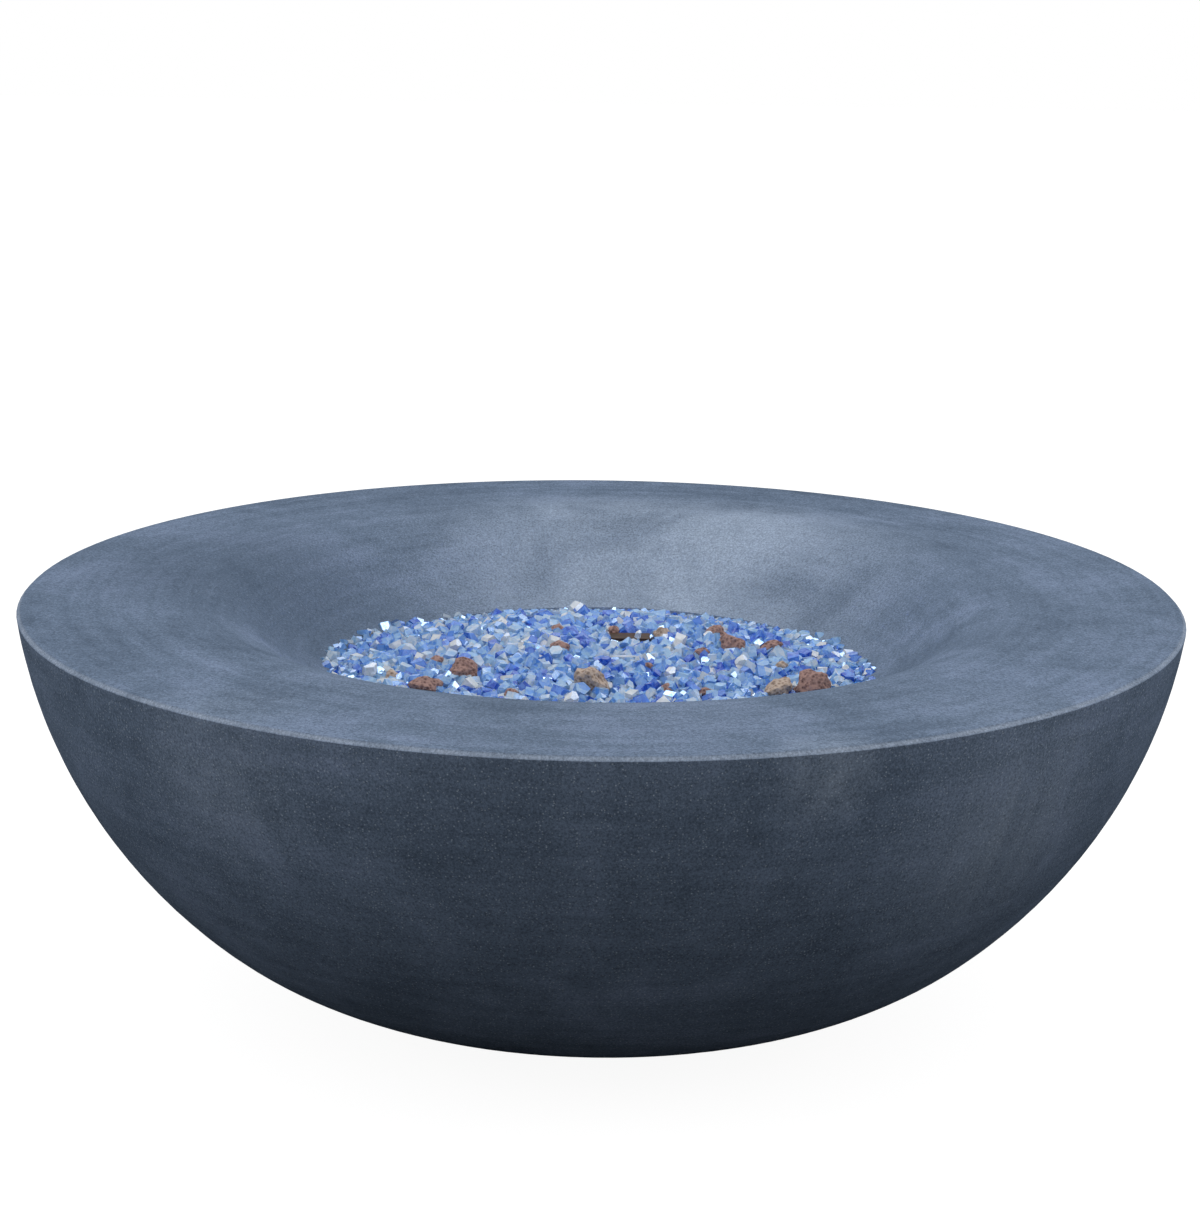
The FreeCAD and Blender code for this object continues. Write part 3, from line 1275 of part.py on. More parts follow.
def make_tubes():
    """Inlet tube from the panel's fitting to the valve, and the main tube from the valve to the elbow."""
    spacing = value("dims.control_spacing")
    tail = value("places.panel_back - dims.inlet_tail")
    level = value("places.port_level")
    reach = value("places.port_reach")
    outer, bore = value("dims.tube_radius"), value("dims.tube_bore_radius")
    inlet_points = [
        panel_point(-spacing, 0, tail),
        panel_point(-spacing, 0, level),
        panel_point(-reach, 0, level),
    ]
    tube_feature("inlet_tube", inlet_points, [value("dims.tube_bend")], outer, bore)
    start = panel_point(0, reach, level)
    down = FreeCAD.Vector(0, -value("places.panel_sine"), -value("places.panel_cosine"))
    elbow_z = value("places.elbow_z")
    corner = start + down * ((start.z - elbow_z) / value("places.panel_cosine"))
    end = FreeCAD.Vector(0, value("dims.elbow_reach"), elbow_z)
    tube_feature("main_gas_tube", [start, corner, end], [value("dims.main_tube_bend")], outer, bore)
    inlet_nut_z = "places.panel_back - dims.inlet_tail - dims.tube_nut_height"
    inlet_nuts = [
        tube_nut("inlet_tube_nut", inlet_nut_z, "-dims.control_spacing"),
        turned_nut("valve_inlet_nut", "left", "-places.port_reach", "0", "places.port_level"),
    ]
    valve_nut = turned_nut("valve_outlet_nut", "down", "0", "places.port_reach", "places.port_level")
    keep(on_panel(group("panel_tube_nuts", [*inlet_nuts, valve_nut])), "valve_tube_nuts")
    elbow_nut = turned_nut("elbow_nut", "down", "0", "dims.elbow_reach", "places.elbow_z")
    keep(group("elbow_tube_nut", [elbow_nut]), "elbow_tube_nut")


def lead_route(start, end, steps):
    """Points from a probe to its terminal: shares of the way across and along, and drops below the pan."""
    top = value("places.pan_under_z")
    drop = value("dims.lead_drop")
    return [FreeCAD.Vector(start.x + (end.x - start.x) * across, start.y + (end.y - start.y) * along,
                           top - drop * down) for across, along, down in steps]


def make_leads():
    """Spark lead and sensor lead, from the probes under the pan to the igniter and the valve."""
    radius = value("dims.lead_radius")
    half = value("dims.probe_spacing / 2")
    pilot_x, pilot_y = value("dims.pilot_x"), value("dims.pilot_y")
    probe_z = value("places.probe_z")
    spark_start = FreeCAD.Vector(pilot_x - half, pilot_y, probe_z - value("dims.electrode_drop"))
    sensor_start = FreeCAD.Vector(pilot_x + half, pilot_y, probe_z - value("dims.sensor_drop"))
    terminal = panel_point(value("dims.control_spacing"), 0,
                           value("places.panel_front - dims.igniter_length - dims.terminal_length"))
    valve_end = panel_point(0, 0, value("places.valve_rear - dims.valve_cap_height"))
    inward = FreeCAD.Vector(0, -value("places.panel_cosine"), value("places.panel_sine"))
    straight = value("dims.lead_straight")
    spark_steps = [(0, 0, 1.0), (0.43, 0.14, 1.4), (0.94, 0.29, 1.3), (1.17, 0.45, 1.2), (1.1, 0.74, 0.9)]
    sensor_steps = [(0, 0, 0.9), (0.3, 0.14, 1.2), (0.62, 0.28, 1.1), (0.84, 0.43, 1.0), (0.92, 0.74, 0.7)]
    spark_points = [
        spark_start,
        *lead_route(spark_start, terminal, spark_steps),
        terminal + inward * straight,
        terminal,
    ]
    sensor_points = [
        sensor_start,
        *lead_route(sensor_start, valve_end, sensor_steps),
        valve_end + inward * straight,
        valve_end,
    ]
    tube_feature("spark_lead", spark_points, corner_radii(spark_points), radius)
    tube_feature("sensor_lead", sensor_points, corner_radii(sensor_points), radius)


# Levelling feet

def make_feet():
    """Four feet on the diagonals: a round pad, its threaded stud and an insert in the concrete."""
    names = ("front_left", "rear_left", "front_right", "rear_right")
    pad_top = "dims.foot_pad_height"
    socket = "dims.stud_pin_radius + dims.running_fit"
    inserts = []
    for name, (across, along) in zip(names, foot_centres()):
        foot_pad = turned_body(f"foot_pad_{name}", [
            ("0", "0"),
            ("dims.foot_radius - dims.overcut", "0"),
            ("dims.foot_radius", "dims.overcut"),
            ("dims.foot_radius", f"{pad_top} / 2"),
            ("dims.stud_hex_width", pad_top),
            (socket, pad_top),
            (socket, f"{pad_top} - dims.stud_pin_length"),
            ("0", f"{pad_top} - dims.stud_pin_length"),
        ])
        keep(place(foot_pad, across, along), f"foot_pad_{name}")
        pin = cylinder(f"stud_pin_{name}", "dims.stud_pin_radius", "dims.stud_pin_length",
                       f"{pad_top} - dims.stud_pin_length", across, along)
        flange = hexagon(f"stud_hexagon_{name}", "dims.stud_hex_width", "dims.stud_hex_height", pad_top,
                         across, along)
        thread = cylinder(f"stud_thread_{name}", "dims.stud_radius",
                          "dims.foot_height - dims.foot_pad_height + dims.stud_grip", pad_top, across, along)
        keep(fuse(f"foot_stud_{name}", pin, flange, thread), f"foot_stud_{name}")
        blank = cylinder(f"insert_{name}", "dims.insert_radius", "dims.insert_length", "dims.foot_height",
                         across, along)
        bore = cylinder(f"insert_bore_{name}", "dims.stud_radius + dims.running_fit", "dims.insert_length",
                        "dims.foot_height - dims.overcut", across, along)
        inserts.append(cut(f"insert_cut_{name}", blank, bore))
    keep(group("foot_inserts", inserts), "foot_inserts")


# Lava rock and fire glass

def probe_hole(name, bottom, height):
    """Clear space round the pilot bracket, through whatever fills the pan."""
    gap = "2 * dims.filler_gap"
    return block(name, f"dims.hood_width + {gap}", f"dims.hood_reach + {gap}", height, bottom,
                 "dims.pilot_x", "dims.pilot_y")


def make_lava_filler():
    """Ring of lava rock that fills the pan outside the burner, level with its top."""
    inner = "places.outer_ring_r + dims.ring_tube_radius + dims.filler_gap"
    outer = "places.tub_inner_r - dims.loose_fit"
    filler = turned_body("lava_rock_filler", [
        (inner, "places.pan_floor_z"),
        (f"{outer} - dims.pan_corner", "places.pan_floor_z"),
        (outer, "places.pan_floor_z + dims.pan_corner"),
        (outer, "places.bed_z"),
        (inner, "places.bed_z"),
    ])
    keep(filler, "lava_rock_filler")


def make_glass_bed():
    """Fire glass as one domed body over the burner, spread over the pan's flange to the basin's wall."""
    tub = "places.tub_inner_r - dims.loose_fit"
    bed = turned_body("glass_bed_solid", [
        ("0", "places.bed_z"),
        (tub, "places.bed_z"),
        (tub, "places.flange_top_z"),
        ("places.bed_edge_r", "places.flange_top_z"),
        ("places.bed_edge_r", "places.bed_edge_z"),
        ("0", "places.bed_edge_z + dims.glass_crown"),
    ], {4: ("places.dome_radius", 1)})
    hole = probe_hole("bed_probe_hole", "places.bed_z - dims.overcut", "2 * dims.hood_height")
    keep(cut("glass_bed", bed, hole), "fire_glass_bed")


def dome_point(reach, angle):
    """Point on top of the glass bed and the way up from it there."""
    radius = value("places.dome_radius")
    top = value("places.bed_edge_z + dims.glass_crown")
    rise = math.sqrt(radius ** 2 - reach ** 2)
    outward = FreeCAD.Vector(math.cos(angle), math.sin(angle), 0)
    normal = (outward * reach + FreeCAD.Vector(0, 0, rise)).normalize()
    return outward * reach + FreeCAD.Vector(0, 0, top - radius + rise), normal


def chip(number, size, height):
    """Broken chip on a flat base: an uneven polygon below and a smaller copy, shifted, on top."""
    corners = 4 + number % 2
    shrink = 0.55 + 0.07 * (number % 4)
    slide = FreeCAD.Vector(math.cos(number * 1.7), math.sin(number * 1.7), 0) * (0.14 * size)
    base = []
    for corner in range(corners):
        angle = 2 * math.pi * (corner + 0.22 * math.sin(number * 2.3 + corner * 1.9)) / corners
        reach = size * (0.86 + 0.14 * math.sin(number * 3.1 + corner * 2.7))
        base.append(FreeCAD.Vector(math.cos(angle), math.sin(angle), 0) * reach)
    tall = height * (0.8 + 0.2 * math.sin(number * 1.3))
    top = [point * shrink + slide + FreeCAD.Vector(0, 0, tall) for point in base]
    faces = [base[::-1], top]
    for corner in range(corners):
        following = (corner + 1) % corners
        faces.append([base[corner], base[following], top[following], top[corner]])
    shell = Part.Shell([Part.Face(Part.makePolygon(points + [points[0]])) for points in faces])
    return Part.Solid(shell)


def seat_chip(shape, number, reach, angle):
    """Set a chip on the bed's dome, square to it, and turned by its number."""
    point, normal = dome_point(reach, angle)
    turn = FreeCAD.Rotation(FreeCAD.Vector(0, 0, 1), number * 67.0)
    tilt = FreeCAD.Rotation(FreeCAD.Vector(0, 0, 1), normal)
    shape.Placement = FreeCAD.Placement(point + normal * value("dims.glass_seat"), tilt * turn)
    return shape


def make_fire_glass():
    """Top layer of chips in a sunflower pattern, sorted into blue glass, clear glass and lava rock."""
    spacing = value("dims.glass_spacing")
    limit = value("places.bed_edge_r - dims.glass_rim_gap")
    size = value("dims.glass_piece")
    hood = FreeCAD.Vector(value("dims.pilot_x"), value("dims.pilot_y"), 0)
    hood_reach = value("dims.hood_width / 2 + dims.filler_gap") + size
    kinds = {"blue_fire_glass": [], "clear_fire_glass": [], "lava_rocks": []}
    golden_angle = math.pi * (3 - math.sqrt(5))
    for number in range(int((limit / spacing) ** 2)):
        reach = spacing * math.sqrt(number + 0.5)
        angle = number * golden_angle
        spot = FreeCAD.Vector(math.cos(angle), math.sin(angle), 0) * reach
        if (spot - hood).Length < hood_reach:
            continue
        if number % 11 == 5:
            kind, tall = "lava_rocks", value("dims.rock_height")
        elif number % 6 == 2:
            kind, tall = "clear_fire_glass", value("dims.glass_height")
        else:
            kind, tall = "blue_fire_glass", value("dims.glass_height")
        kinds[kind].append(seat_chip(chip(number, size, tall), number, reach, angle))
    for kind, chips in kinds.items():
        feature = doc.addObject("Part::Feature", kind + "_chips")
        feature.Shape = Part.Compound(chips)
        feature.Placement = FreeCAD.Placement()
        keep(feature, kind)
        print(f"{kind}: {len(chips)} pieces")


make_bowl_shell()
make_burner_pan()
make_ring_burner()
make_burner_lock_nut()
make_air_mixer()
make_air_shutter()
make_gas_orifice()
make_orifice_elbow()
make_pilot_hood()
make_bracket_screws()
make_probes()
make_control_panel()
make_panel_screws()
make_panel_anchors()
make_heat_shield()
make_valve_body()
make_valve_cap()
make_valve_plug()
make_valve_stem()
make_control_knob()
make_igniter()
make_gas_inlet()
make_tubes()
make_leads()
make_feet()
make_lava_filler()
make_glass_bed()
make_fire_glass()
doc.recompute()

for item in doc.Objects:
    if {"Invalid", "Error"} & set(item.State):
        raise RuntimeError(f"{item.Name} failed: {item.State}")
for part in PARTS:
    if part.Shape.isNull() or not part.Shape.isValid() or not part.Shape.Solids:
        raise RuntimeError(f"{part.Label} has no valid solid")
    part.Shape.exportStep(f"parts/{part.Label}.step")
print(f"{len(PARTS)} sub-parts written")
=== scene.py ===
# %% [markdown]
# # A concrete fire bowl, dressed for its portrait
#
# The CAD model already holds every part of the fire bowl at its true size. This lesson gives each
# part the finish of the real thing, heaps the burner pan with broken glass and lava rock, and sets
# up a plain studio. Blender works in metres here, so a size in millimetres is divided by 1000.

# %% Load the CAD frame
import bmesh
import bpy
import json
import math
import random
from mathutils import Euler, Matrix, Vector, noise


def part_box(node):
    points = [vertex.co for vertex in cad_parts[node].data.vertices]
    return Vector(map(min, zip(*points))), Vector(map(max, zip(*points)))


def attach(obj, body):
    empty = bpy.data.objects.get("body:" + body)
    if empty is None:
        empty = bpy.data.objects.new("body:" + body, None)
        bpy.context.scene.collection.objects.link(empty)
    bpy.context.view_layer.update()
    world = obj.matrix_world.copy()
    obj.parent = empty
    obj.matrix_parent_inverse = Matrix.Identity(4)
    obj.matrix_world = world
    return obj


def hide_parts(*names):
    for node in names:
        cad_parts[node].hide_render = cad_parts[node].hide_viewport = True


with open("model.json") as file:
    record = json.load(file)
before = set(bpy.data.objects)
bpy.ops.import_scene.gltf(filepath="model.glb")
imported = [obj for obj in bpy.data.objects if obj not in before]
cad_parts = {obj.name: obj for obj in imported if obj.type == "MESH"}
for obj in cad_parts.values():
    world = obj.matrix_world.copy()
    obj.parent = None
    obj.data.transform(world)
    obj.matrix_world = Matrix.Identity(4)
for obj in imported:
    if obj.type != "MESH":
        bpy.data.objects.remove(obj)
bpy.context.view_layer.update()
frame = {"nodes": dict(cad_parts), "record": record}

print("sub-parts loaded:", len(frame["nodes"]))

# %% [markdown]
# ## A camera where the photographer stood
#
# A long lens from nearly three metres away flattens the bowl a little. The place, the downward
# pitch and the slight roll were found by fitting the outline of the rim and the wall to the
# photograph.

# %% Camera
CAMERA_PLACE = Vector((0.0, -2.6258, 1.0095))
CAMERA_YAW = math.radians(-0.03)
CAMERA_PITCH = math.radians(13.74)
CAMERA_ROLL = math.radians(0.77)
LENS_MM = 86.38
SENSOR_MM = 36.0

camera_data = bpy.data.cameras.new("portrait_camera")
camera_data.lens = LENS_MM
camera_data.sensor_width = SENSOR_MM
camera = bpy.data.objects.new("portrait_camera", camera_data)
turn = (Matrix.Rotation(-CAMERA_YAW, 4, "Z") @ Matrix.Rotation(math.pi / 2 - CAMERA_PITCH, 4, "X")
        @ Matrix.Rotation(CAMERA_ROLL, 4, "Z"))
camera.matrix_world = Matrix.Translation(CAMERA_PLACE) @ turn
bpy.context.scene.collection.objects.link(camera)
bpy.context.scene.camera = camera
bpy.context.scene.view_settings.view_transform = "Standard"
print("camera distance to the bowl:", round(CAMERA_PLACE.length, 2), "m")

# %% [markdown]
# ## Helpers for materials
#
# Colours are written as sRGB hex values, as a paint shop would give them, and turned to linear
# numbers once. Patterns are given by the size of one feature in millimetres, which Blender wants
# as a scale. One function adds a node, sets what is asked of it and links its inputs, so a
# material reads as a short list of what the surface is made of.

# %% Colour and scale
def linear(hex_colour):
    """Turn an sRGB hex colour into the linear RGBA that shaders work in."""
    channels = []
    for start in (1, 3, 5):
        share = int(hex_colour[start:start + 2], 16) / 255
        channels.append(share / 12.92 if share <= 0.04045 else ((share + 0.055) / 1.055) ** 2.4)
    return (*channels, 1.0)


def per_mm(size):
    """Texture scale at which one feature is about this many millimetres across."""
    return 1000.0 / size


print("a 1 mm grain has the texture scale", per_mm(1.0))

# %% Nodes and new materials
# A mix node has its two values at these inputs, one pair for numbers and one for colours.
NUMBER_FIRST, NUMBER_SECOND = 2, 3
MIX_FIRST, MIX_SECOND, MIX_RESULT = 6, 7, 2


def add_node(tree, kind, settings=None, links=None):
    """Add a node, set its properties and unlinked inputs, and link the others."""
    node = tree.nodes.new(kind)
    for name, setting in (settings or {}).items():
        if name == "stops":
            ramp = node.color_ramp
            while len(ramp.elements) < len(setting):
                ramp.elements.new(0.5)
            for element, (position, colour) in zip(ramp.elements, setting):
                element.position = position
                element.color = linear(colour)
        elif isinstance(name, str) and hasattr(node, name):
            setattr(node, name, setting)
        else:
            node.inputs[name].default_value = setting
    for name, source in (links or {}).items():
        tree.links.new(source, node.inputs[name])
    return node


def new_material(name, roughness, metallic=0.0, **constants):
    """Start a material and set its constant values straight on the shader."""
    material = bpy.data.materials.new(name)
    material.use_nodes = True
    shader = material.node_tree.nodes["Principled BSDF"]
    shader.inputs["Roughness"].default_value = roughness
    shader.inputs["Metallic"].default_value = metallic
    for socket, setting in constants.items():
        shader.inputs[socket.replace("_", " ")].default_value = setting
    coords = add_node(material.node_tree, "ShaderNodeTexCoord").outputs["Object"]
    return material, material.node_tree, shader, coords


print("material helpers ready")

# %% [markdown]
# ## Cast concrete
#
# The bowl is fine cast concrete with a blue-grey dye. Its face has several scales of detail: cloudy
# blotches as wide as a hand where water left the mix at different speeds, and faint streaks that
# the trowel drew round the rim and round the wall. The streaks must follow the circle with no seam,
# so the noise reads the direction from the axis as a point on a small circle, and the distance from
# the axis and the height as fast-moving coordinates.

# %% Direction, reach and height on a round bowl
concrete, tree, shader, coords = new_material("cast_concrete", 0.9, Specular_IOR_Level=0.0)
flat = add_node(tree, "ShaderNodeVectorMath", {"operation": "MULTIPLY", 1: (1, 1, 0)}, {0: coords})
reach = add_node(tree, "ShaderNodeVectorMath", {"operation": "LENGTH"},
                 {0: flat.outputs[0]}).outputs["Value"]
direction = add_node(tree, "ShaderNodeVectorMath", {"operation": "NORMALIZE"}, {0: flat.outputs[0]})
height = add_node(tree, "ShaderNodeSeparateXYZ", links={0: coords}).outputs["Z"]
print("the concrete starts with", len(tree.nodes), "nodes")

# %% Concrete body colour
CONCRETE_DARK = "#566477"
CONCRETE_MIDDLE = "#66758a"
CONCRETE_LIGHT = "#7887a0"
BLOTCH_MM = 130.0
MOTTLE_MM = 22.0
STREAK_MM = 12.0
STREAK_TURNS = 2.4
STREAK_SHARE = 0.36
MOTTLE_SHARE = 0.20

reach_fast = add_node(tree, "ShaderNodeMath", {"operation": "MULTIPLY", 1: per_mm(STREAK_MM)},
                      {0: reach})
height_fast = add_node(tree, "ShaderNodeMath", {"operation": "MULTIPLY", 1: per_mm(STREAK_MM)},
                       {0: height})
reach_vector = add_node(tree, "ShaderNodeCombineXYZ", links={"Z": reach_fast.outputs[0]})
round_vector = add_node(tree, "ShaderNodeVectorMath",
                        {"operation": "MULTIPLY_ADD", 1: (STREAK_TURNS,) * 3},
                        {0: direction.outputs[0], 2: reach_vector.outputs[0]})
streaks = add_node(tree, "ShaderNodeTexNoise",
                   {"noise_dimensions": "4D", "Scale": 1.0, "Detail": 4.0, "Roughness": 0.55},
                   {"Vector": round_vector.outputs[0], "W": height_fast.outputs[0]})
blotches = add_node(tree, "ShaderNodeTexNoise",
                    {"Scale": per_mm(BLOTCH_MM), "Detail": 5.0, "Roughness": 0.55,
                     "Distortion": 0.5}, {"Vector": coords})
mottle = add_node(tree, "ShaderNodeTexNoise",
                  {"Scale": per_mm(MOTTLE_MM), "Detail": 4.0, "Roughness": 0.6}, {"Vector": coords})
streaked = add_node(tree, "ShaderNodeMix", {"data_type": "FLOAT", 0: STREAK_SHARE},
                    {NUMBER_FIRST: blotches.outputs[0], NUMBER_SECOND: streaks.outputs[0]})
cloud = add_node(tree, "ShaderNodeMix", {"data_type": "FLOAT", 0: MOTTLE_SHARE},
                 {NUMBER_FIRST: streaked.outputs[0], NUMBER_SECOND: mottle.outputs[0]})
body_colour = add_node(tree, "ShaderNodeValToRGB",
                       {"stops": [(0.36, CONCRETE_DARK), (0.5, CONCRETE_MIDDLE),
                                  (0.66, CONCRETE_LIGHT)]}, {0: cloud.outputs[0]})
print("concrete body uses", len(tree.nodes), "nodes")

# %% [markdown]
# ### Marks of making and of use, and painted light and shade in the basin
#
# The back wall of the basin, which faces the front, is painted paler: painted light. Its left wall
# is painted darker: painted shade. A pale scuff and a patch of upright brush strokes lie on the
# outside to the right of the front. Each mark is a soft ball of influence round a place, and one of
# the textures breaks it up, so that no outline of a ball can be seen. The painted light keeps to
# the basin.

# %% Painted light and shade in the basin, and scuffs
# Painted light on the back wall of the basin, which faces the front, and painted shade on its left
# wall
BASIN_BACK_PAINTED_LIGHT = "#9dabbe"
BASIN_LEFT_PAINTED_SHADE = "#4b586a"
SCUFF_PALE = "#94a2b5"
BASIN_LIGHT_STARTS, BASIN_LIGHT_FULL = 0.485, 0.37
BREAK_LOW, BREAK_HIGH, BREAK_LEAST = 0.36, 0.6, 0.45
BRUSH_TURNS = 38.0
MARKS = (
    # centre in metres, radius in metres, greatest share, texture that breaks it up, colour;
    # a mark with no texture of its own is broken up by the brush strokes below
    # painted light on the back wall of the basin
    ((0.07, 0.285, 0.325), 0.34, 0.80, blotches, BASIN_BACK_PAINTED_LIGHT),
    # painted shade on the left wall of the basin
    ((-0.33, 0.08, 0.345), 0.26, 0.75, blotches, BASIN_LEFT_PAINTED_SHADE),
    ((0.175, -0.50, 0.360), 0.062, 0.55, mottle, SCUFF_PALE),
    ((-0.30, -0.42, 0.330), 0.110, 0.30, mottle, SCUFF_PALE),
    ((0.33, -0.39, 0.275), 0.150, 0.42, None, SCUFF_PALE),
)

brush_place = add_node(tree, "ShaderNodeVectorMath",
                       {"operation": "MULTIPLY", 1: (BRUSH_TURNS, BRUSH_TURNS, 0.0)},
                       {0: direction.outputs[0]})
brush = add_node(tree, "ShaderNodeTexNoise", {"Scale": 1.0, "Detail": 3.0, "Roughness": 0.6},
                 {"Vector": brush_place.outputs[0]})
surface_colour = body_colour.outputs[0]
basin_only = add_node(tree, "ShaderNodeMapRange",
                      {"interpolation_type": "SMOOTHSTEP", "From Min": BASIN_LIGHT_STARTS,
                       "From Max": BASIN_LIGHT_FULL}, {"Value": reach})
for centre, radius, share, breaker, colour in MARKS:
    away = add_node(tree, "ShaderNodeVectorMath", {"operation": "DISTANCE", 1: centre}, {0: coords})
    ball = add_node(tree, "ShaderNodeMapRange",
                    {"interpolation_type": "SMOOTHSTEP", "From Min": radius, "From Max": 0.0,
                     "To Max": share}, {"Value": away.outputs["Value"]})
    broken = add_node(tree, "ShaderNodeMapRange",
                      {"From Min": BREAK_LOW, "From Max": BREAK_HIGH, "To Min": BREAK_LEAST},
                      {"Value": (breaker or brush).outputs[0]})
    mark = add_node(tree, "ShaderNodeMath", {"operation": "MULTIPLY"},
                    {0: ball.outputs[0], 1: broken.outputs[0]})
    # the painted light is kept to the basin
    if colour == BASIN_BACK_PAINTED_LIGHT:
        mark = add_node(tree, "ShaderNodeMath", {"operation": "MULTIPLY"},
                        {0: mark.outputs[0], 1: basin_only.outputs[0]})
    marked = add_node(tree, "ShaderNodeMix", {"data_type": "RGBA", MIX_SECOND: linear(colour)},
                      {0: mark.outputs[0], MIX_FIRST: surface_colour})
    surface_colour = marked.outputs[MIX_RESULT]
print("marks on the concrete:", len(MARKS))

# %% [markdown]
# ### Sand and the worn edge
#
# Pale grains of sand show in the face, more on the outside, where the mould was, than on the
# trowelled rim. Real grains are about half a millimetre, too fine for this picture, so they are
# drawn one to two millimetres wide. The edge of the rim is paler all round: partly wear that shows
# bare sand, partly a painted highlight where the edge catches the light. It is found as a distance
# from one point in the plane of reach and height.

# %% Sand grains
SAND_PALE = "#b4c0cf"
SAND_MM = 2.6
GRAIN_EDGE, GRAIN_CORE = 0.30, 0.12
SAND_STRENGTH = 0.34
FADED_GRAIN, PALE_GRAIN = 0.25, 0.8
SLOPE_OF_RIM = 0.4
SAND_ON_RIM, SAND_ON_WALL = 0.6, 1.9

sand = add_node(tree, "ShaderNodeTexVoronoi", {"Scale": per_mm(SAND_MM)}, {"Vector": coords})
sand_mask = add_node(tree, "ShaderNodeMapRange",
                     {"From Min": GRAIN_EDGE, "From Max": GRAIN_CORE, "To Max": SAND_STRENGTH},
                     {"Value": sand.outputs["Distance"]})
sand_pick = add_node(tree, "ShaderNodeSeparateColor", links={0: sand.outputs["Color"]})
sand_share = add_node(tree, "ShaderNodeMapRange",
                      {"From Min": FADED_GRAIN, "From Max": PALE_GRAIN},
                      {"Value": sand_pick.outputs[0]})
facing = add_node(tree, "ShaderNodeSeparateXYZ",
                  links={0: add_node(tree, "ShaderNodeNewGeometry").outputs["Normal"]})
on_wall = add_node(tree, "ShaderNodeMapRange",
                   {"From Min": SLOPE_OF_RIM, "From Max": 0.0, "To Min": SAND_ON_RIM,
                    "To Max": SAND_ON_WALL}, {"Value": facing.outputs["Z"]})
sand_strength = add_node(tree, "ShaderNodeMath", {"operation": "MULTIPLY"},
                         {0: sand_mask.outputs[0], 1: on_wall.outputs[0]})
sand_fade = add_node(tree, "ShaderNodeMath", {"operation": "MULTIPLY", "use_clamp": True},
                     {0: sand_strength.outputs[0], 1: sand_share.outputs[0]})
sanded = add_node(tree, "ShaderNodeMix", {"data_type": "RGBA", MIX_SECOND: linear(SAND_PALE)},
                  {0: sand_fade.outputs[0], MIX_FIRST: surface_colour})
print("a grain of sand is drawn about", round(2 * GRAIN_EDGE * SAND_MM, 1), "mm wide")

# %% Worn edge of the rim, with a painted highlight
# The paler edge of the rim is partly wear and partly a painted highlight where the edge catches the
# light.
EDGE_WEAR_AND_HIGHLIGHT = "#8e9aac"
RIM_EDGE_RADIUS = 0.5318
RIM_EDGE_HEIGHT = 0.3793
EDGE_BAND_WIDTH = 0.0029
EDGE_STRENGTH = 1.5

edge_offset = add_node(tree, "ShaderNodeCombineXYZ", links={"X": reach, "Y": height})
edge_distance = add_node(tree, "ShaderNodeVectorMath",
                         {"operation": "DISTANCE", 1: (RIM_EDGE_RADIUS, RIM_EDGE_HEIGHT, 0)},
                         {0: edge_offset.outputs[0]})
edge_wear_and_highlight_mask = add_node(tree, "ShaderNodeMapRange",
                     {"From Min": EDGE_BAND_WIDTH, "From Max": EDGE_BAND_WIDTH / 3, "To Max": EDGE_STRENGTH},
                     {"Value": edge_distance.outputs["Value"]})
edge_wear_and_highlight_share = add_node(tree, "ShaderNodeMath", {"operation": "MULTIPLY", "use_clamp": True},
                      {0: edge_wear_and_highlight_mask.outputs[0], 1: mottle.outputs[0]})
# mixes in the paler edge: wear and painted highlight
worn_and_highlit = add_node(tree, "ShaderNodeMix", {"data_type": "RGBA", MIX_SECOND: linear(EDGE_WEAR_AND_HIGHLIGHT)},
                {0: edge_wear_and_highlight_share.outputs[0], MIX_FIRST: sanded.outputs[MIX_RESULT]})
print("the edge is worn", round(EDGE_BAND_WIDTH * 1000, 1), "mm deep")

# %% [markdown]
# ### Fine grain and relief
#
# The last layer is a fine grain that shades the colour and roughens the face. The clouds raise the
# face a little too, because a blotch on cast concrete is a change in its skin and not only a stain.

# %% Grain and relief of the concrete
GRAIN_MM = 2.0
GRAIN_LOW, GRAIN_HIGH = 0.3, 0.7
GRAIN_DARK, GRAIN_BRIGHT = 0.64, 1.36
GRAIN_RELIEF = {"Strength": 0.25, "Distance": 0.0006}
CLOUD_RELIEF = {"Strength": 0.2, "Distance": 0.0010}

grain = add_node(tree, "ShaderNodeTexNoise",
                 {"Scale": per_mm(GRAIN_MM), "Detail": 2.0, "Roughness": 0.8}, {"Vector": coords})
grain_shade = add_node(tree, "ShaderNodeMapRange",
                       {"From Min": GRAIN_LOW, "From Max": GRAIN_HIGH, "To Min": GRAIN_DARK,
                        "To Max": GRAIN_BRIGHT}, {"Value": grain.outputs[0]})
grained = add_node(tree, "ShaderNodeVectorMath", {"operation": "MULTIPLY"},
                   {0: worn_and_highlit.outputs[MIX_RESULT], 1: grain_shade.outputs[0]})
tree.links.new(grained.outputs[0], shader.inputs["Base Color"])
grain_bump = add_node(tree, "ShaderNodeBump", GRAIN_RELIEF, {"Height": grain.outputs[0]})
cloud_bump = add_node(tree, "ShaderNodeBump", CLOUD_RELIEF,
                      {"Height": cloud.outputs[0], "Normal": grain_bump.outputs[0]})
tree.links.new(cloud_bump.outputs[0], shader.inputs["Normal"])
print("concrete uses", len(tree.nodes), "nodes")

# %% [markdown]
# ## Metals, plastics, rubber and ceramic
#
# Most hardware is bought in: brushed stainless sheet, turned brass, zinc-plated screws, moulded
# nylon. Each has a base colour, a fine pattern left by how it was made, and a little unevenness in
# its gloss. One recipe with different numbers does for all of them: a stretched noise for the marks
# of the tool and a broad one for handling and weather.

# %% Recipe for hardware
MARKED_BELOW, CLEAN_ABOVE = 0.36, 0.62
GLOSS_SPREAD = 0.1
GLOSS_LEAST = 0.05
MARKS_STRENGTH = 0.5


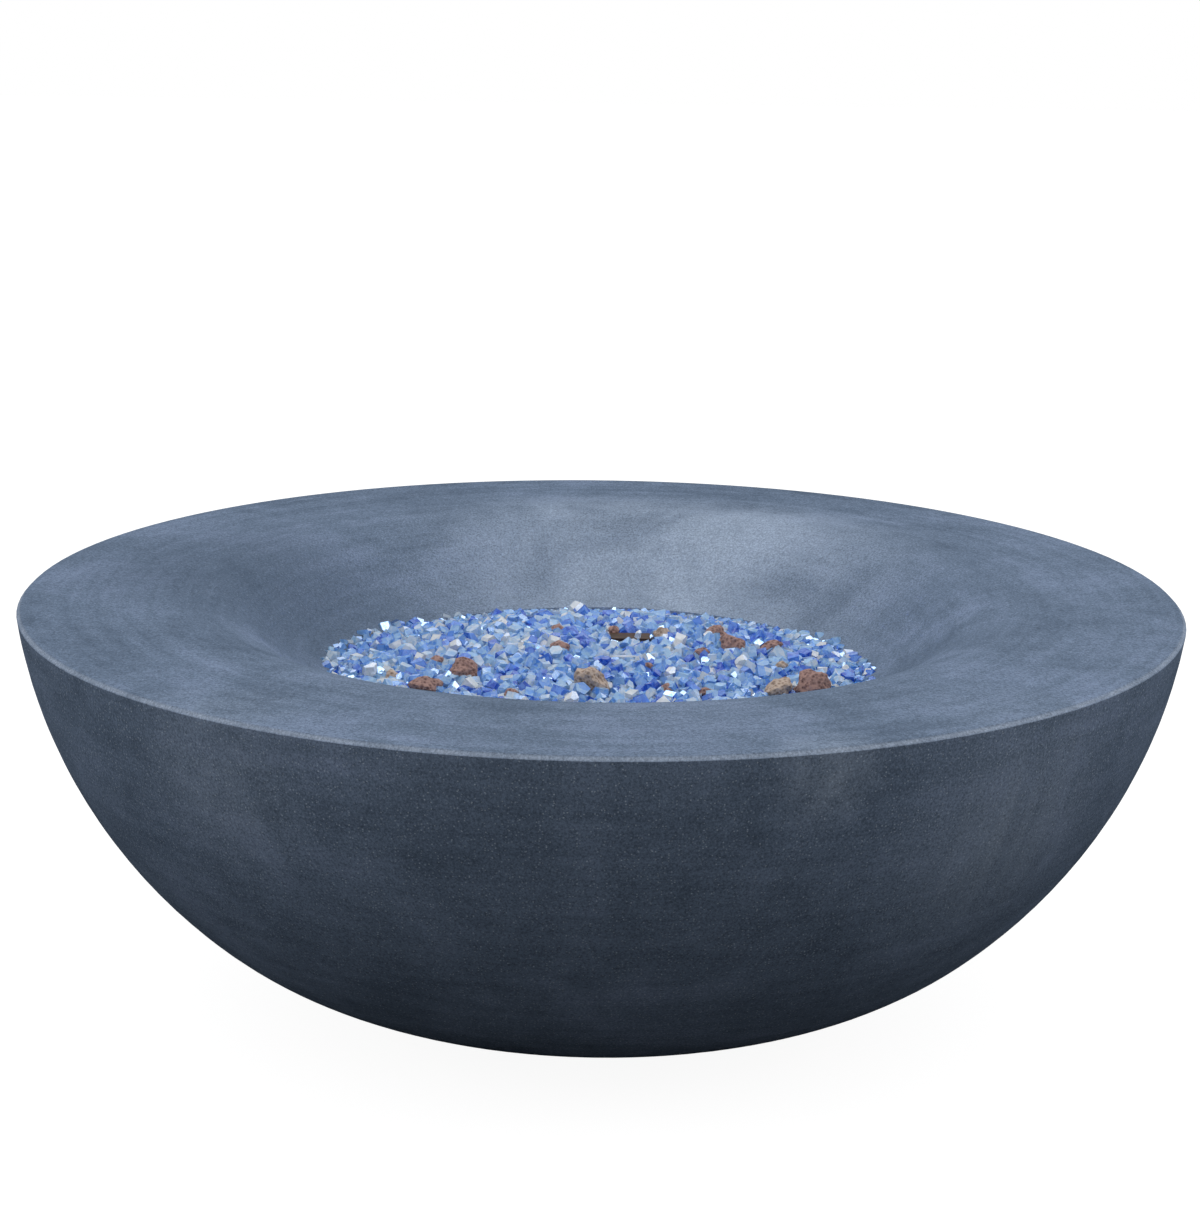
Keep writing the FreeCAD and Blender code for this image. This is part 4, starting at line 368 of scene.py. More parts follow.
def hardware(name, colour, marked, roughness, metallic, mark_mm, bump_mm=0.03, patch_mm=35.0):
    """Finish with tool marks of mark_mm along X, Y and Z, and patches of wear."""
    material, tree, shader, coords = new_material(name, roughness, metallic)
    marks_place = add_node(tree, "ShaderNodeMapping",
                           {"Scale": tuple(per_mm(size) for size in mark_mm)}, {"Vector": coords})
    marks = add_node(tree, "ShaderNodeTexNoise", {"Scale": 1.0, "Detail": 3.0, "Roughness": 0.6},
                     {"Vector": marks_place.outputs[0]})
    patches = add_node(tree, "ShaderNodeTexNoise", {"Scale": per_mm(patch_mm), "Detail": 4.0},
                       {"Vector": coords})
    blend = add_node(tree, "ShaderNodeMix", {"data_type": "FLOAT", 0: 0.5},
                     {NUMBER_FIRST: marks.outputs[0], NUMBER_SECOND: patches.outputs[0]})
    tone = add_node(tree, "ShaderNodeValToRGB",
                    {"stops": [(MARKED_BELOW, marked), (CLEAN_ABOVE, colour)]},
                    {0: blend.outputs[0]})
    tree.links.new(tone.outputs[0], shader.inputs["Base Color"])
    gloss = add_node(tree, "ShaderNodeMapRange",
                     {"From Min": 0.3, "From Max": 0.7,
                      "To Min": max(roughness - GLOSS_SPREAD, GLOSS_LEAST),
                      "To Max": min(roughness + GLOSS_SPREAD, 1.0)}, {"Value": blend.outputs[0]})
    tree.links.new(gloss.outputs[0], shader.inputs["Roughness"])
    bump = add_node(tree, "ShaderNodeBump",
                    {"Strength": MARKS_STRENGTH, "Distance": bump_mm / 1000},
                    {"Height": marks.outputs[0]})
    tree.links.new(bump.outputs[0], shader.inputs["Normal"])
    return material


print("hardware recipe ready")

# %% Hardware finishes
ROUND_GRAIN = (1.5, 1.5, 1.5)
ACROSS_SHEET = (40.0, 1.0, 1.0)
TURNED = (30.0, 30.0, 0.8)
DRAWN = (3.0, 60.0, 3.0)

stainless = hardware("brushed_stainless_sheet", "#c3c5c6", "#8f9294", 0.34, 1.0, ACROSS_SHEET)
heat_tinted = hardware("heat_tinted_steel", "#5d4a3e", "#2a2422", 0.6, 1.0, ROUND_GRAIN,
                       patch_mm=9.0)
brass = hardware("turned_brass", "#cdb578", "#a8905a", 0.36, 1.0, TURNED)
aluminium = hardware("die_cast_aluminium", "#b3b5b8", "#8d9094", 0.5, 1.0, ROUND_GRAIN, 0.06)
tube_aluminium = hardware("drawn_aluminium_tube", "#c6c8ca", "#a3a6a9", 0.36, 1.0, DRAWN)
zinc = hardware("zinc_plated_steel", "#b9bbbb", "#8e8d86", 0.38, 1.0, ROUND_GRAIN, patch_mm=6.0)
ceramic = hardware("alumina_ceramic", "#ece7db", "#c9bda6", 0.32, 0.0, ROUND_GRAIN, 0.02, 14.0)
nylon = hardware("moulded_black_nylon", "#232427", "#141517", 0.46, 0.0, ROUND_GRAIN, 0.05, 18.0)
cell_sleeve = hardware("pvc_cell_sleeve", "#43505d", "#35414d", 0.25, 0.0, ROUND_GRAIN, 0.01)
silicone = hardware("silicone_lead_sleeve", "#37393d", "#26282b", 0.55, 0.0, ROUND_GRAIN, 0.04)
copper = hardware("copper_capillary", "#b4704a", "#7f4a31", 0.35, 1.0, ROUND_GRAIN, 0.02)
rubber = hardware("moulded_rubber", "#2a2b2c", "#191a1a", 0.78, 0.0, ROUND_GRAIN, 0.12, 12.0)

FINISHES = {
    "concrete": concrete, "stainless": stainless, "heated_steel": heat_tinted, "brass": brass,
    "aluminium": aluminium, "plated_steel": zinc, "ceramic": ceramic, "black_plastic": nylon,
    "cell_sleeve": cell_sleeve, "silicone": silicone, "copper": copper, "rubber": rubber,
}
print("hardware finishes:", len(FINISHES) - 1)

# %% [markdown]
# ## Broken glass
#
# Fire glass is tempered sheet glass, coloured in the melt, broken and tumbled. Light passes through
# several chips before it comes out, which makes the heap glow pale blue on top and go dark in the
# gaps. The tone drifts from chip to chip, and fine fractures run through each chip: both come from
# the random colour that a cell pattern gives to each of its cells.

# %% Recipe for glass
TINT_MM = 13.0
SWIRL_MM = 6.0
SPLIT_MM = 4.0
SWIRL_SHARE = 0.45
SPLIT_SHARE = 0.35
DEEP_BELOW, PALE_ABOVE = 0.28, 0.66
GLASS_ROUGHNESS = 0.06
CRACK_RELIEF = {"Strength": 0.5, "Distance": 0.0008}
RIPPLE_RELIEF = {"Strength": 0.35, "Distance": 0.0006}


def glass(name, pale, deep, clearness):
    """Coloured glass that is as clear as its clearness and for the rest shows its tone."""
    material, tree, shader, coords = new_material(name, GLASS_ROUGHNESS,
                                                  Transmission_Weight=clearness, IOR=1.5)
    drift = add_node(tree, "ShaderNodeTexVoronoi", {"Scale": per_mm(TINT_MM)}, {"Vector": coords})
    chip_tone = add_node(tree, "ShaderNodeSeparateColor", links={0: drift.outputs["Color"]})
    swirl = add_node(tree, "ShaderNodeTexNoise", {"Scale": per_mm(SWIRL_MM), "Detail": 2.0},
                     {"Vector": coords})
    splits = add_node(tree, "ShaderNodeTexVoronoi", {"Scale": per_mm(SPLIT_MM)}, {"Vector": coords})
    split_tone = add_node(tree, "ShaderNodeSeparateColor", links={0: splits.outputs["Color"]})
    blend = add_node(tree, "ShaderNodeMix", {"data_type": "FLOAT", 0: SWIRL_SHARE},
                     {NUMBER_FIRST: chip_tone.outputs[0], NUMBER_SECOND: swirl.outputs[0]})
    blend = add_node(tree, "ShaderNodeMix", {"data_type": "FLOAT", 0: SPLIT_SHARE},
                     {NUMBER_FIRST: blend.outputs[0], NUMBER_SECOND: split_tone.outputs[0]})
    tone = add_node(tree, "ShaderNodeValToRGB",
                    {"stops": [(DEEP_BELOW, deep), (PALE_ABOVE, pale)]}, {0: blend.outputs[0]})
    tree.links.new(tone.outputs[0], shader.inputs["Base Color"])
    cracks = add_node(tree, "ShaderNodeBump", CRACK_RELIEF, {"Height": split_tone.outputs[1]})
    ripples = add_node(tree, "ShaderNodeBump", RIPPLE_RELIEF,
                       {"Height": swirl.outputs[0], "Normal": cracks.outputs[0]})
    tree.links.new(ripples.outputs[0], shader.inputs["Normal"])
    return material


cobalt_glass = glass("cobalt_fire_glass", "#70a8ff", "#2c5fd6", 0.38)
sky_glass = glass("sky_blue_fire_glass", "#b0dbff", "#69abff", 0.42)
ice_glass = glass("ice_blue_fire_glass", "#e2f1ff", "#a8d5ff", 0.47)
clear_glass = glass("clear_fire_glass", "#fbfdff", "#dfe9ef", 0.4)
print("glass finishes ready")

# %% [markdown]
# ### Mirror coats and the shaded bed
#
# Some of the glass is broken from mirror-coated sheet, so one face of such a chip flashes almost
# white, or pale blue where the coat is seen through the colour. The body of the bed, which shows
# only between the chips, is deep blue with soft humps.

# %% Coated faces and the bed under the chips
BED_HUMPS = (6.0, 6.0, 6.0)
mirror_face = hardware("mirror_coated_glass_face", "#e8f0fb", "#b4caee", 0.12, 1.0,
                       ROUND_GRAIN, 0.02, 16.0)
blue_mirror = hardware("mirror_seen_through_blue_glass", "#c9defa", "#86afee", 0.14, 1.0,
                       ROUND_GRAIN, 0.03, 9.0)
under_glass = hardware("glass_in_shadow", "#6a94ea", "#2c4fae", 0.3, 0.0, BED_HUMPS, 2.0, 12.0)
FINISHES.update({"glass_bed": under_glass, "blue_glass": sky_glass, "clear_glass": clear_glass})
print("finishes so far:", len(FINISHES))

# %% [markdown]
# ### Lava rock
#
# Lava rock is rusty scoria, full of burst bubbles. A cell pattern gives the bubbles, and a rough
# noise the crust between them. The same blend colours the pits dark and sinks them: the dark in the
# pits is painted shade, and the patchy crust is the rock's own tone.

# %% Recipe for lava
PIT_MM = 3.2
RUST_MM = 7.0
PIT_SHADE_BELOW, CRUST_ABOVE = 0.3, 0.58
LAVA_ROUGHNESS = 0.92
LAVA_RELIEF = {"Strength": 0.9, "Distance": 0.0015}


def scoria(name, crust, pit_shade_and_dark_crust):
    """Lava rock with pits about three millimetres wide under a patchy crust, the pits darkened with
    painted shade.
    """
    material, tree, shader, coords = new_material(name, LAVA_ROUGHNESS,
                                                  Specular_IOR_Level=0.2)
    pits = add_node(tree, "ShaderNodeTexVoronoi", {"Scale": per_mm(PIT_MM)}, {"Vector": coords})
    rust = add_node(tree, "ShaderNodeTexNoise",
                    {"Scale": per_mm(RUST_MM), "Detail": 5.0, "Roughness": 0.7},
                    {"Vector": coords})
    depth = add_node(tree, "ShaderNodeMix", {"data_type": "FLOAT", 0: 0.5},
                     {NUMBER_FIRST: pits.outputs["Distance"], NUMBER_SECOND: rust.outputs[0]})
    # the dark in the pits is painted shade, and the patchy crust is the rock's own tone
    tone = add_node(tree, "ShaderNodeValToRGB",
                    {"stops": [(PIT_SHADE_BELOW, pit_shade_and_dark_crust), (CRUST_ABOVE, crust)]},
                    {0: depth.outputs[0]})
    tree.links.new(tone.outputs[0], shader.inputs["Base Color"])
    bump = add_node(tree, "ShaderNodeBump", LAVA_RELIEF, {"Height": depth.outputs[0]})
    tree.links.new(bump.outputs[0], shader.inputs["Normal"])
    return material


red_scoria = scoria("red_lava_scoria", "#9d8079", "#5c4544")
tan_scoria = scoria("tan_lava_scoria", "#b7a69a", "#7e6c5f")
FINISHES["lava_rock"] = red_scoria
print("finishes in all:", len(FINISHES))

# %% [markdown]
# ## A finish for every CAD part
#
# The record names what each part is made of, so the finishes can be handed out in one loop. The
# two gas tubes are aluminium like the valve, but drawn and not cast, and get their own finish.

# %% Give every CAD part its finish
slots = {row["node"]: row["material_slot"] for row in frame["record"]["subparts"]}
TUBES = ("inlet_tube", "main_gas_tube")
for name, part in frame["nodes"].items():
    part.data.materials.clear()
    part.data.materials.append(tube_aluminium if name in TUBES else FINISHES[slots[name]])
print("CAD parts finished:", len(slots))

# %% [markdown]
# ## Chips from a broken sheet
#
# A chip starts as a flat disc with four to six corners, the outline of a crack pattern, and is
# extruded to the thickness of the sheet. Two slanting cuts knock corners off. Two dozen different
# chips are enough, because every copy is turned and scaled before it is dropped on the heap.

# %% Chip shapes
SEED = 42
CHIP_KINDS = 24
CHIP_CORNERS = (4, 5, 5, 6)
CORNER_REACH = (0.75, 1.1)
SHEET_LEAN = (-0.14, 0.14)
SHEET_THICKNESS = (0.5, 0.85)
TOP_TAPER = (0.7, 1.0)
CORNER_CUTS = 2
CUT_REACH = (0.33, 0.42)


def cap_hole(mesh, cut):
    """Close the hole that a slanting cut leaves."""
    edges = [piece for piece in cut["geom_cut"] if isinstance(piece, bmesh.types.BMEdge)]
    if edges:
        bmesh.ops.contextual_create(mesh, geom=edges)


def keep_template(mesh, name):
    """Store a finished shape as a mesh that copies can be made from."""
    template = bpy.data.meshes.new(name)
    mesh.to_mesh(template)
    mesh.free()
    return template


def chip_shape(number):
    """One chip of unit width, its mirror face in material slot 1."""
    pick = random.Random(SEED + number)
    mesh = bmesh.new()
    bmesh.ops.create_circle(mesh, cap_ends=True, segments=pick.choice(CHIP_CORNERS), radius=0.5)
    for vert in mesh.verts:
        vert.co *= pick.uniform(*CORNER_REACH)
    grown = bmesh.ops.extrude_face_region(mesh, geom=mesh.faces[:])
    top = [piece for piece in grown["geom"] if isinstance(piece, bmesh.types.BMVert)]
    lean = Vector((pick.uniform(*SHEET_LEAN), pick.uniform(*SHEET_LEAN),
                   pick.uniform(*SHEET_THICKNESS)))
    bmesh.ops.translate(mesh, verts=top, vec=lean)
    bmesh.ops.scale(mesh, verts=top, vec=(pick.uniform(*TOP_TAPER), pick.uniform(*TOP_TAPER), 1.0))
    for face in mesh.faces:
        face.material_index = int(all(vert in top for vert in face.verts))
    middle = Vector((0, 0, lean.z / 2))
    for _ in range(CORNER_CUTS):
        slant = Vector((pick.uniform(-1, 1), pick.uniform(-1, 1), pick.uniform(-0.2, 1)))
        slant.normalize()
        whole = mesh.verts[:] + mesh.edges[:] + mesh.faces[:]
        cut = bmesh.ops.bisect_plane(mesh, geom=whole, plane_no=slant, clear_outer=True,
                                     plane_co=middle + slant * pick.uniform(*CUT_REACH))
        cap_hole(mesh, cut)
    bmesh.ops.recalc_face_normals(mesh, faces=mesh.faces[:])
    bmesh.ops.translate(mesh, verts=mesh.verts[:], vec=(0, 0, -lean.z / 2))
    return keep_template(mesh, f"chip_shape_{number}")


chip_shapes = [chip_shape(number) for number in range(CHIP_KINDS)]
print("faces on a chip:", len(chip_shapes[0].polygons))

# %% [markdown]
# ## Lumps of lava
#
# A lump starts as a ball of small triangles. Two sizes of noise push its surface in and out, and
# it is squeezed a little, because scoria breaks into flattish pieces.

# %% Rock shapes
ROCK_KINDS = 10
ROCK_LUMPS = ((2.2, 0.42), (6.0, 0.14))
NOISE_STEP = (5.3, 2.9)
ROCK_PROPORTIONS = ((0.9, 1.15), (0.75, 1.0), (0.6, 0.8))


def rock_shape(number):
    """One lumpy piece of lava of unit width."""
    pick = random.Random(SEED * 3 + number)
    mesh = bmesh.new()
    bmesh.ops.create_icosphere(mesh, subdivisions=3, radius=0.5)
    shift = Vector((number * NOISE_STEP[0], number * NOISE_STEP[1], 0))
    for vert in mesh.verts:
        lump = sum(noise.noise(vert.co * fineness + shift) * rise for fineness, rise in ROCK_LUMPS)
        vert.co *= 1.0 + lump
    bmesh.ops.scale(mesh, verts=mesh.verts[:],
                    vec=tuple(pick.uniform(*span) for span in ROCK_PROPORTIONS))
    return keep_template(mesh, f"rock_shape_{number}")


rock_shapes = [rock_shape(number) for number in range(ROCK_KINDS)]
print("faces on a rock:", len(rock_shapes[0].polygons))

# %% [markdown]
# ## Where the heap lies
#
# The heap is a low dome in the pan. It runs out on the sloping concrete at the sides, a little
# higher and further on the left, and stays low at the back, where the wall behind it can be seen.
# The sheet hood over the igniter stands out of the glass, so chips keep clear of it and of its
# front.

# %% Surface of the heap
bed_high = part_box("fire_glass_bed")[1]
BED_RADIUS = bed_high.x
BED_CROWN = 0.013
BED_EDGE = bed_high.z - BED_CROWN
WALL_FOOT = 0.3045
WALL_SLOPE = math.tan(math.radians(23.0))
CLIMB_LEFT = 0.0050
CLIMB_RIGHT = 0.0030
SPREAD = 0.2435
SPREAD_LEFT = 0.0170
SPREAD_RIGHT = 0.0105
RIPPLE_FINENESS = 18.0
RIPPLE_RISE = 0.002


def heap_height(x, y):
    """Height of the glass under a chip at this place."""
    distance = math.hypot(x, y)
    if distance > BED_RADIUS:
        return WALL_FOOT + (distance - BED_RADIUS) * WALL_SLOPE
    climb = (CLIMB_LEFT if x < 0 else CLIMB_RIGHT) * (abs(x) / BED_RADIUS) ** 3
    ripple = noise.noise(Vector((x, y, 0)) * RIPPLE_FINENESS) * RIPPLE_RISE
    return BED_EDGE + BED_CROWN * (1 - (distance / BED_RADIUS) ** 2) + climb + ripple


def heap_limit(x, y):
    """How far out chips lie in this direction."""
    across = x / max(math.hypot(x, y), 0.001)
    return SPREAD - SPREAD_LEFT * min(across, 0) ** 3 + SPREAD_RIGHT * max(across, 0) ** 3


print("crown of the bed at", round(bed_high.z * 1000, 1), "mm, edge at",
      round(BED_EDGE * 1000, 1), "mm")

# %% Places on the heap
HOOD_PLACE = Vector((0.028, 0.088, 0))
HOOD_HALF = Vector((0.0235, 0.0150, 0))
HOOD_FRONT = 0.022
GOLDEN_ANGLE = math.pi * (3 - math.sqrt(5))
SPIRAL_PACKING = 1.8
NUDGE = (-0.3, 0.3)


def over_hood(x, y, front):
    """Whether a chip here would lie on the pilot hood, or hide its front."""
    return (abs(x - HOOD_PLACE.x) < HOOD_HALF.x
            and HOOD_PLACE.y - HOOD_HALF.y - front < y < HOOD_PLACE.y + HOOD_HALF.y)


def spiral(spacing, limit, pick):
    """Evenly spread places out to a radius, each nudged at random."""
    step = spacing / SPIRAL_PACKING
    for number in range(int((limit / step) ** 2)):
        distance = step * math.sqrt(number + 0.5)
        x = distance * math.cos(number * GOLDEN_ANGLE) + pick.uniform(*NUDGE) * spacing
        y = distance * math.sin(number * GOLDEN_ANGLE) + pick.uniform(*NUDGE) * spacing
        if math.hypot(x, y) < limit:
            yield x, y


print("the hood keeps clear", round(HOOD_HALF.x * 2000), "by", round(HOOD_HALF.y * 2000), "mm")

# %% [markdown]
# ## Dropping the glass
#
# Four colours of glass are mixed in the pan. Each colour becomes one object, so that it can have
# its own material. The chips go down in three passes: a close bottom layer, a looser one half sunk
# into it, and a few on top that catch the light. A ring of small chips fills the corner at the wall
# of the pan. A chip is copied by reading its template into the mesh of its colour.

# %% Copies of a chip
CHIP_WIDTHS = (0.0105, 0.0165)
GLASS_MIX = {"cobalt": 0.22, "sky": 0.48, "ice": 0.24, "clear": 0.06}
MIRRORED_SHARE = 0.4


def add_copy(mesh, template, place, plain=False):
    """Copy a template into a mesh with a transform; a plain one loses its second material."""
    first = len(mesh.verts)
    first_face = len(mesh.faces)
    mesh.from_mesh(template)
    mesh.verts.ensure_lookup_table()
    mesh.faces.ensure_lookup_table()
    bmesh.ops.transform(mesh, matrix=place, verts=mesh.verts[first:])
    if plain:
        for face in mesh.faces[first_face:]:
            face.material_index = 0


def chip_place(x, y, z, width, tilt, pick):
    """A random turn at a place, tilted up to the given angle, for a piece of this width."""
    turn = Euler((pick.uniform(-tilt, tilt), pick.uniform(-tilt, tilt), pick.uniform(0, math.tau)))
    return Matrix.Translation((x, y, z)) @ turn.to_matrix().to_4x4() @ Matrix.Scale(width, 4)


def any_colour(pick):
    """A colour of glass, drawn by its share of the mix."""
    return pick.choices(list(GLASS_MIX), GLASS_MIX.values())[0]


heaps = {colour: bmesh.new() for colour in GLASS_MIX}
print("colours of glass:", len(heaps))

# %% Drop the chips
LAYERS = (
    # spacing, lift above the bed, distance kept from the edge, greatest tilt in degrees
    (0.0098, -0.0005, 0.000, 40),
    (0.0112, 0.0032, 0.018, 180),
    (0.0200, 0.0068, 0.050, 180),
)
RING_CHIPS = 190
RING_INSET = 0.0045
RING_JITTER = (-0.001, 0.001)
RING_LIFT = 0.0022
RING_TILT = math.radians(40)

pick = random.Random(SEED)
chip_count = 0
for spacing, lift, inset, tilt in LAYERS:
    hood_front = HOOD_FRONT if inset else 0.0
    for x, y in spiral(spacing, SPREAD + SPREAD_LEFT, pick):
        if math.hypot(x, y) > heap_limit(x, y) - inset or over_hood(x, y, hood_front):
            continue
        colour = any_colour(pick)
        width = pick.uniform(*CHIP_WIDTHS)
        place = chip_place(x, y, heap_height(x, y) + lift, width, math.radians(tilt), pick)
        plain = pick.random() > MIRRORED_SHARE
        add_copy(heaps[colour], pick.choice(chip_shapes), place, plain)
        chip_count += 1
for number in range(RING_CHIPS):
    around = math.tau * number / RING_CHIPS
    distance = BED_RADIUS - RING_INSET + pick.uniform(*RING_JITTER)
    x, y = distance * math.cos(around), distance * math.sin(around)
    colour = any_colour(pick)
    place = chip_place(x, y, heap_height(x, y) + RING_LIFT, CHIP_WIDTHS[0], RING_TILT, pick)
    shape = pick.choice(chip_shapes)
    plain = pick.random() > MIRRORED_SHARE
    add_copy(heaps[colour], shape, place, plain)
print("chips in the heap:", chip_count, "and in the ring:", RING_CHIPS)

# %% [markdown]
# ## Chips that catch the eye
#
# Thirteen chips in the photograph flash white and can be told apart, so each gets its own place
# and lean. The lean turns its mirror face to the camera. A thin splinter of clear glass lies across
# the middle of the heap.

# %% Chips and splinter that the photograph shows
SEEN_LIFT = 0.0105
SEEN_SHAPE = chip_shapes[3]
SEEN_WHITE = (
    # x, y and width in metres, lean towards the camera in degrees, turn in radians
    (-0.025, 0.212, 0.016, 75, 0.4), (-0.137, 0.024, 0.015, 35, 1.1),
    (-0.168, -0.015, 0.013, 20, 2.0), (-0.210, -0.057, 0.018, 12, 0.2),
    (-0.045, 0.036, 0.014, 30, 2.6), (-0.025, -0.156, 0.018, 28, 0.9),
    (0.056, -0.162, 0.019, 40, 1.7), (0.064, -0.064, 0.012, 55, 0.5),
    (0.075, 0.060, 0.015, 25, 2.2), (0.103, 0.084, 0.011, 60, 0.1),
    (0.036, 0.073, 0.008, 30, 0.8), (0.131, -0.014, 0.012, 40, 1.3),
    (-0.090, 0.055, 0.012, 15, 0.7),
)
SPLINTER_SHAPE = chip_shapes[0]
SPLINTER_PLACE = (0.020, -0.034, 0.3285)
SPLINTER_SIZE = (0.033, 0.0024, 0.0024)
SPLINTER_TURN = 0.06

for x, y, width, lean, turn in SEEN_WHITE:
    stand = Euler((math.radians(lean), 0, turn)).to_matrix().to_4x4()
    place = Matrix.Translation((x, y, heap_height(x, y) + SEEN_LIFT)) @ stand
    add_copy(heaps["clear"], SEEN_SHAPE, place @ Matrix.Scale(width, 4))
splinter = (Matrix.Translation(SPLINTER_PLACE)
            @ Euler((0, 0, SPLINTER_TURN)).to_matrix().to_4x4())
add_copy(heaps["clear"], SPLINTER_SHAPE, splinter @ Matrix.Diagonal((*SPLINTER_SIZE, 1)))
print("chips set by hand:", len(SEEN_WHITE))

# %% [markdown]
# ## Four pieces of glass
#
# Each colour of the heap becomes a named piece that rides on the bowl. Two of them stand in for the
# plainer chips of the CAD model, which are taken out.

# %% Pieces for the four glass colours
GLASS_FINISH = {"cobalt": cobalt_glass, "sky": sky_glass, "ice": ice_glass, "clear": clear_glass}


def finish_piece(mesh, name, body, *materials):
    """Turn a bmesh into a named piece that rides on a CAD body."""
    data = bpy.data.meshes.new(name)
    mesh.to_mesh(data)
    mesh.free()
    for material in materials:
        data.materials.append(material)
    piece = bpy.data.objects.new(name, data)
    bpy.context.scene.collection.objects.link(piece)
    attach(piece, body)
    print(name, "has", len(data.polygons), "faces")
    return piece


for colour, mesh in heaps.items():
    glint = mirror_face if colour == "clear" else blue_mirror
    finish_piece(mesh, f"{colour}_glass_chips", "bowl",
                                        GLASS_FINISH[colour], glint)
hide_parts("blue_fire_glass")
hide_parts("clear_fire_glass")

# %% [markdown]
# ## Lava among the glass
#
# Lumps of lava from the layer underneath have worked their way up. The large ones are where the
# photograph shows them, and smaller ones are sprinkled over the part of the heap that it hides.

# %% Lava rocks
SEEN_ROCKS = (
    # x, y and width in metres, and whether the rock is tan
    (-0.007, -0.102, 0.034, True), (0.192, -0.086, 0.038, False), (0.161, -0.096, 0.028, True),
    (0.111, 0.107, 0.020, False), (0.123, 0.049, 0.026, False), (0.162, 0.059, 0.019, False),
    (0.095, 0.021, 0.015, False), (0.168, -0.012, 0.013, True), (0.059, 0.092, 0.017, True),
    (0.012, 0.106, 0.014, False), (-0.154, -0.018, 0.016, False), (-0.125, -0.056, 0.028, False),
    (-0.157, -0.103, 0.027, False), (-0.190, -0.059, 0.014, True), (-0.218, -0.100, 0.013, False),
    (-0.043, 0.102, 0.015, False), (-0.039, 0.025, 0.017, False), (-0.079, -0.122, 0.014, False),
    (0.060, -0.107, 0.014, False), (0.095, -0.108, 0.013, False), (0.045, -0.030, 0.010, False),
)
HIDDEN_SPACING = 0.075
HIDDEN_REACH = 0.225
HIDDEN_BEFORE = -0.165
HIDDEN_WIDTHS = (0.012, 0.022)
TAN_SHARE = 0.3
ROCK_LIFT = 0.004
ROCK_STANDS_OUT = 0.22
ROCK_TILT = 0.5

pick = random.Random(SEED + 7)
red_rocks, tan_rocks = bmesh.new(), bmesh.new()
rocks = list(SEEN_ROCKS)
for x, y in spiral(HIDDEN_SPACING, HIDDEN_REACH, pick):
    if y < HIDDEN_BEFORE:
        rocks.append((x, y, pick.uniform(*HIDDEN_WIDTHS), pick.random() < TAN_SHARE))
for number, (x, y, width, is_tan) in enumerate(rocks):
    z = heap_height(x, y) + ROCK_LIFT + width * ROCK_STANDS_OUT
    place = chip_place(x, y, z, width, ROCK_TILT, pick)
    add_copy(tan_rocks if is_tan else red_rocks, rock_shapes[number % ROCK_KINDS], place)
red_piece = finish_piece(red_rocks, "red_lava_pieces", "bowl", red_scoria)
tan_piece = finish_piece(tan_rocks, "tan_lava_pieces", "bowl", tan_scoria)
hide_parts("lava_rocks")
print("rocks on the heap:", len(rocks))

# %% [markdown]
# ## Small things on the control panel
#
# The groove in the knob is filled with white paint. The paint follows the slant of the panel, whose
# outward direction is the axis that the knob turns on, and it rides on the knob.

# %% Pointer paint
joints = {row["name"]: row for row in frame["record"]["behaviour"]["joints"]}
OUTWARD = Vector(joints["knob_turn"]["axis"]).normalized()
KNOB_CENTRE = Vector(joints["knob_turn"]["pos_m"])
ACROSS = Vector((1, 0, 0))
UPWARD = ACROSS.cross(OUTWARD)
PANEL_TURN = Matrix((ACROSS, UPWARD, OUTWARD)).transposed().to_4x4()
POINTER_SIZE = (0.0018, 0.0110, 0.0012)
POINTER_RISE = 0.0138
POINTER_SUNK = 0.0007
EDGE_ROUNDING = 0.3
paint = hardware("white_enamel_paint", "#e9e8e2", "#cfcdc4", 0.4, 0.0, ROUND_GRAIN, 0.02, 8.0)


def add_bar(mesh, size, spot, turned=0.0):
    """A small bar with rounded edges, lying on the slant of the panel."""
    place = Matrix.Translation(spot) @ PANEL_TURN @ Matrix.Rotation(turned, 4, "Z")
    made = bmesh.ops.create_cube(mesh, size=1.0, matrix=place @ Matrix.Diagonal((*size, 1)))
    edges = list({edge for vert in made["verts"] for edge in vert.link_edges})
    bmesh.ops.bevel(mesh, geom=edges, offset=min(size) * EDGE_ROUNDING, segments=2,
                    affect="EDGES", profile=0.5, material=-1)


knob_top = max(vert.co.dot(OUTWARD) for vert in frame["nodes"]["control_knob"].data.vertices)
face = KNOB_CENTRE + OUTWARD * (knob_top - KNOB_CENTRE.dot(OUTWARD))
pointer = bmesh.new()
add_bar(pointer, POINTER_SIZE, face + UPWARD * POINTER_RISE - OUTWARD * POINTER_SUNK)
finish_piece(pointer, "knob_pointer_paint", "knob", paint)

# %% [markdown]
# ### Cross recesses
#
# Each screw has a cross recess for the screwdriver. The shadowed bottom of a recess is drawn as a
# dark cross on the face of the screw. Several screws share one CAD part, so they are told apart by
# walking along the edges of the mesh from one corner to the next.

# %% Screw recesses
RECESS_SIZE = (0.0009, 0.0038, 0.0002)
RECESS_TURN = 0.4
FACE_DEPTH = 0.0001
WELD = 1e-6
recess_shade = hardware("shadowed_screw_recess", "#3a3b3c", "#202121", 0.6, 0.6, ROUND_GRAIN,
                        0.02, 4.0)


def islands(part):
    """The separate solids of a CAD node, each as a list of places."""
    mesh = bmesh.new()
    mesh.from_mesh(part.data)
    bmesh.ops.remove_doubles(mesh, verts=mesh.verts[:], dist=WELD)
    left = set(mesh.verts)
    while left:
        group, queue = [], [left.pop()]
        while queue:
            vert = queue.pop()
            group.append(vert.co.copy())
            for edge in vert.link_edges:
                other = edge.other_vert(vert)
                if other in left:
                    left.remove(other)
                    queue.append(other)
        yield group
    mesh.free()


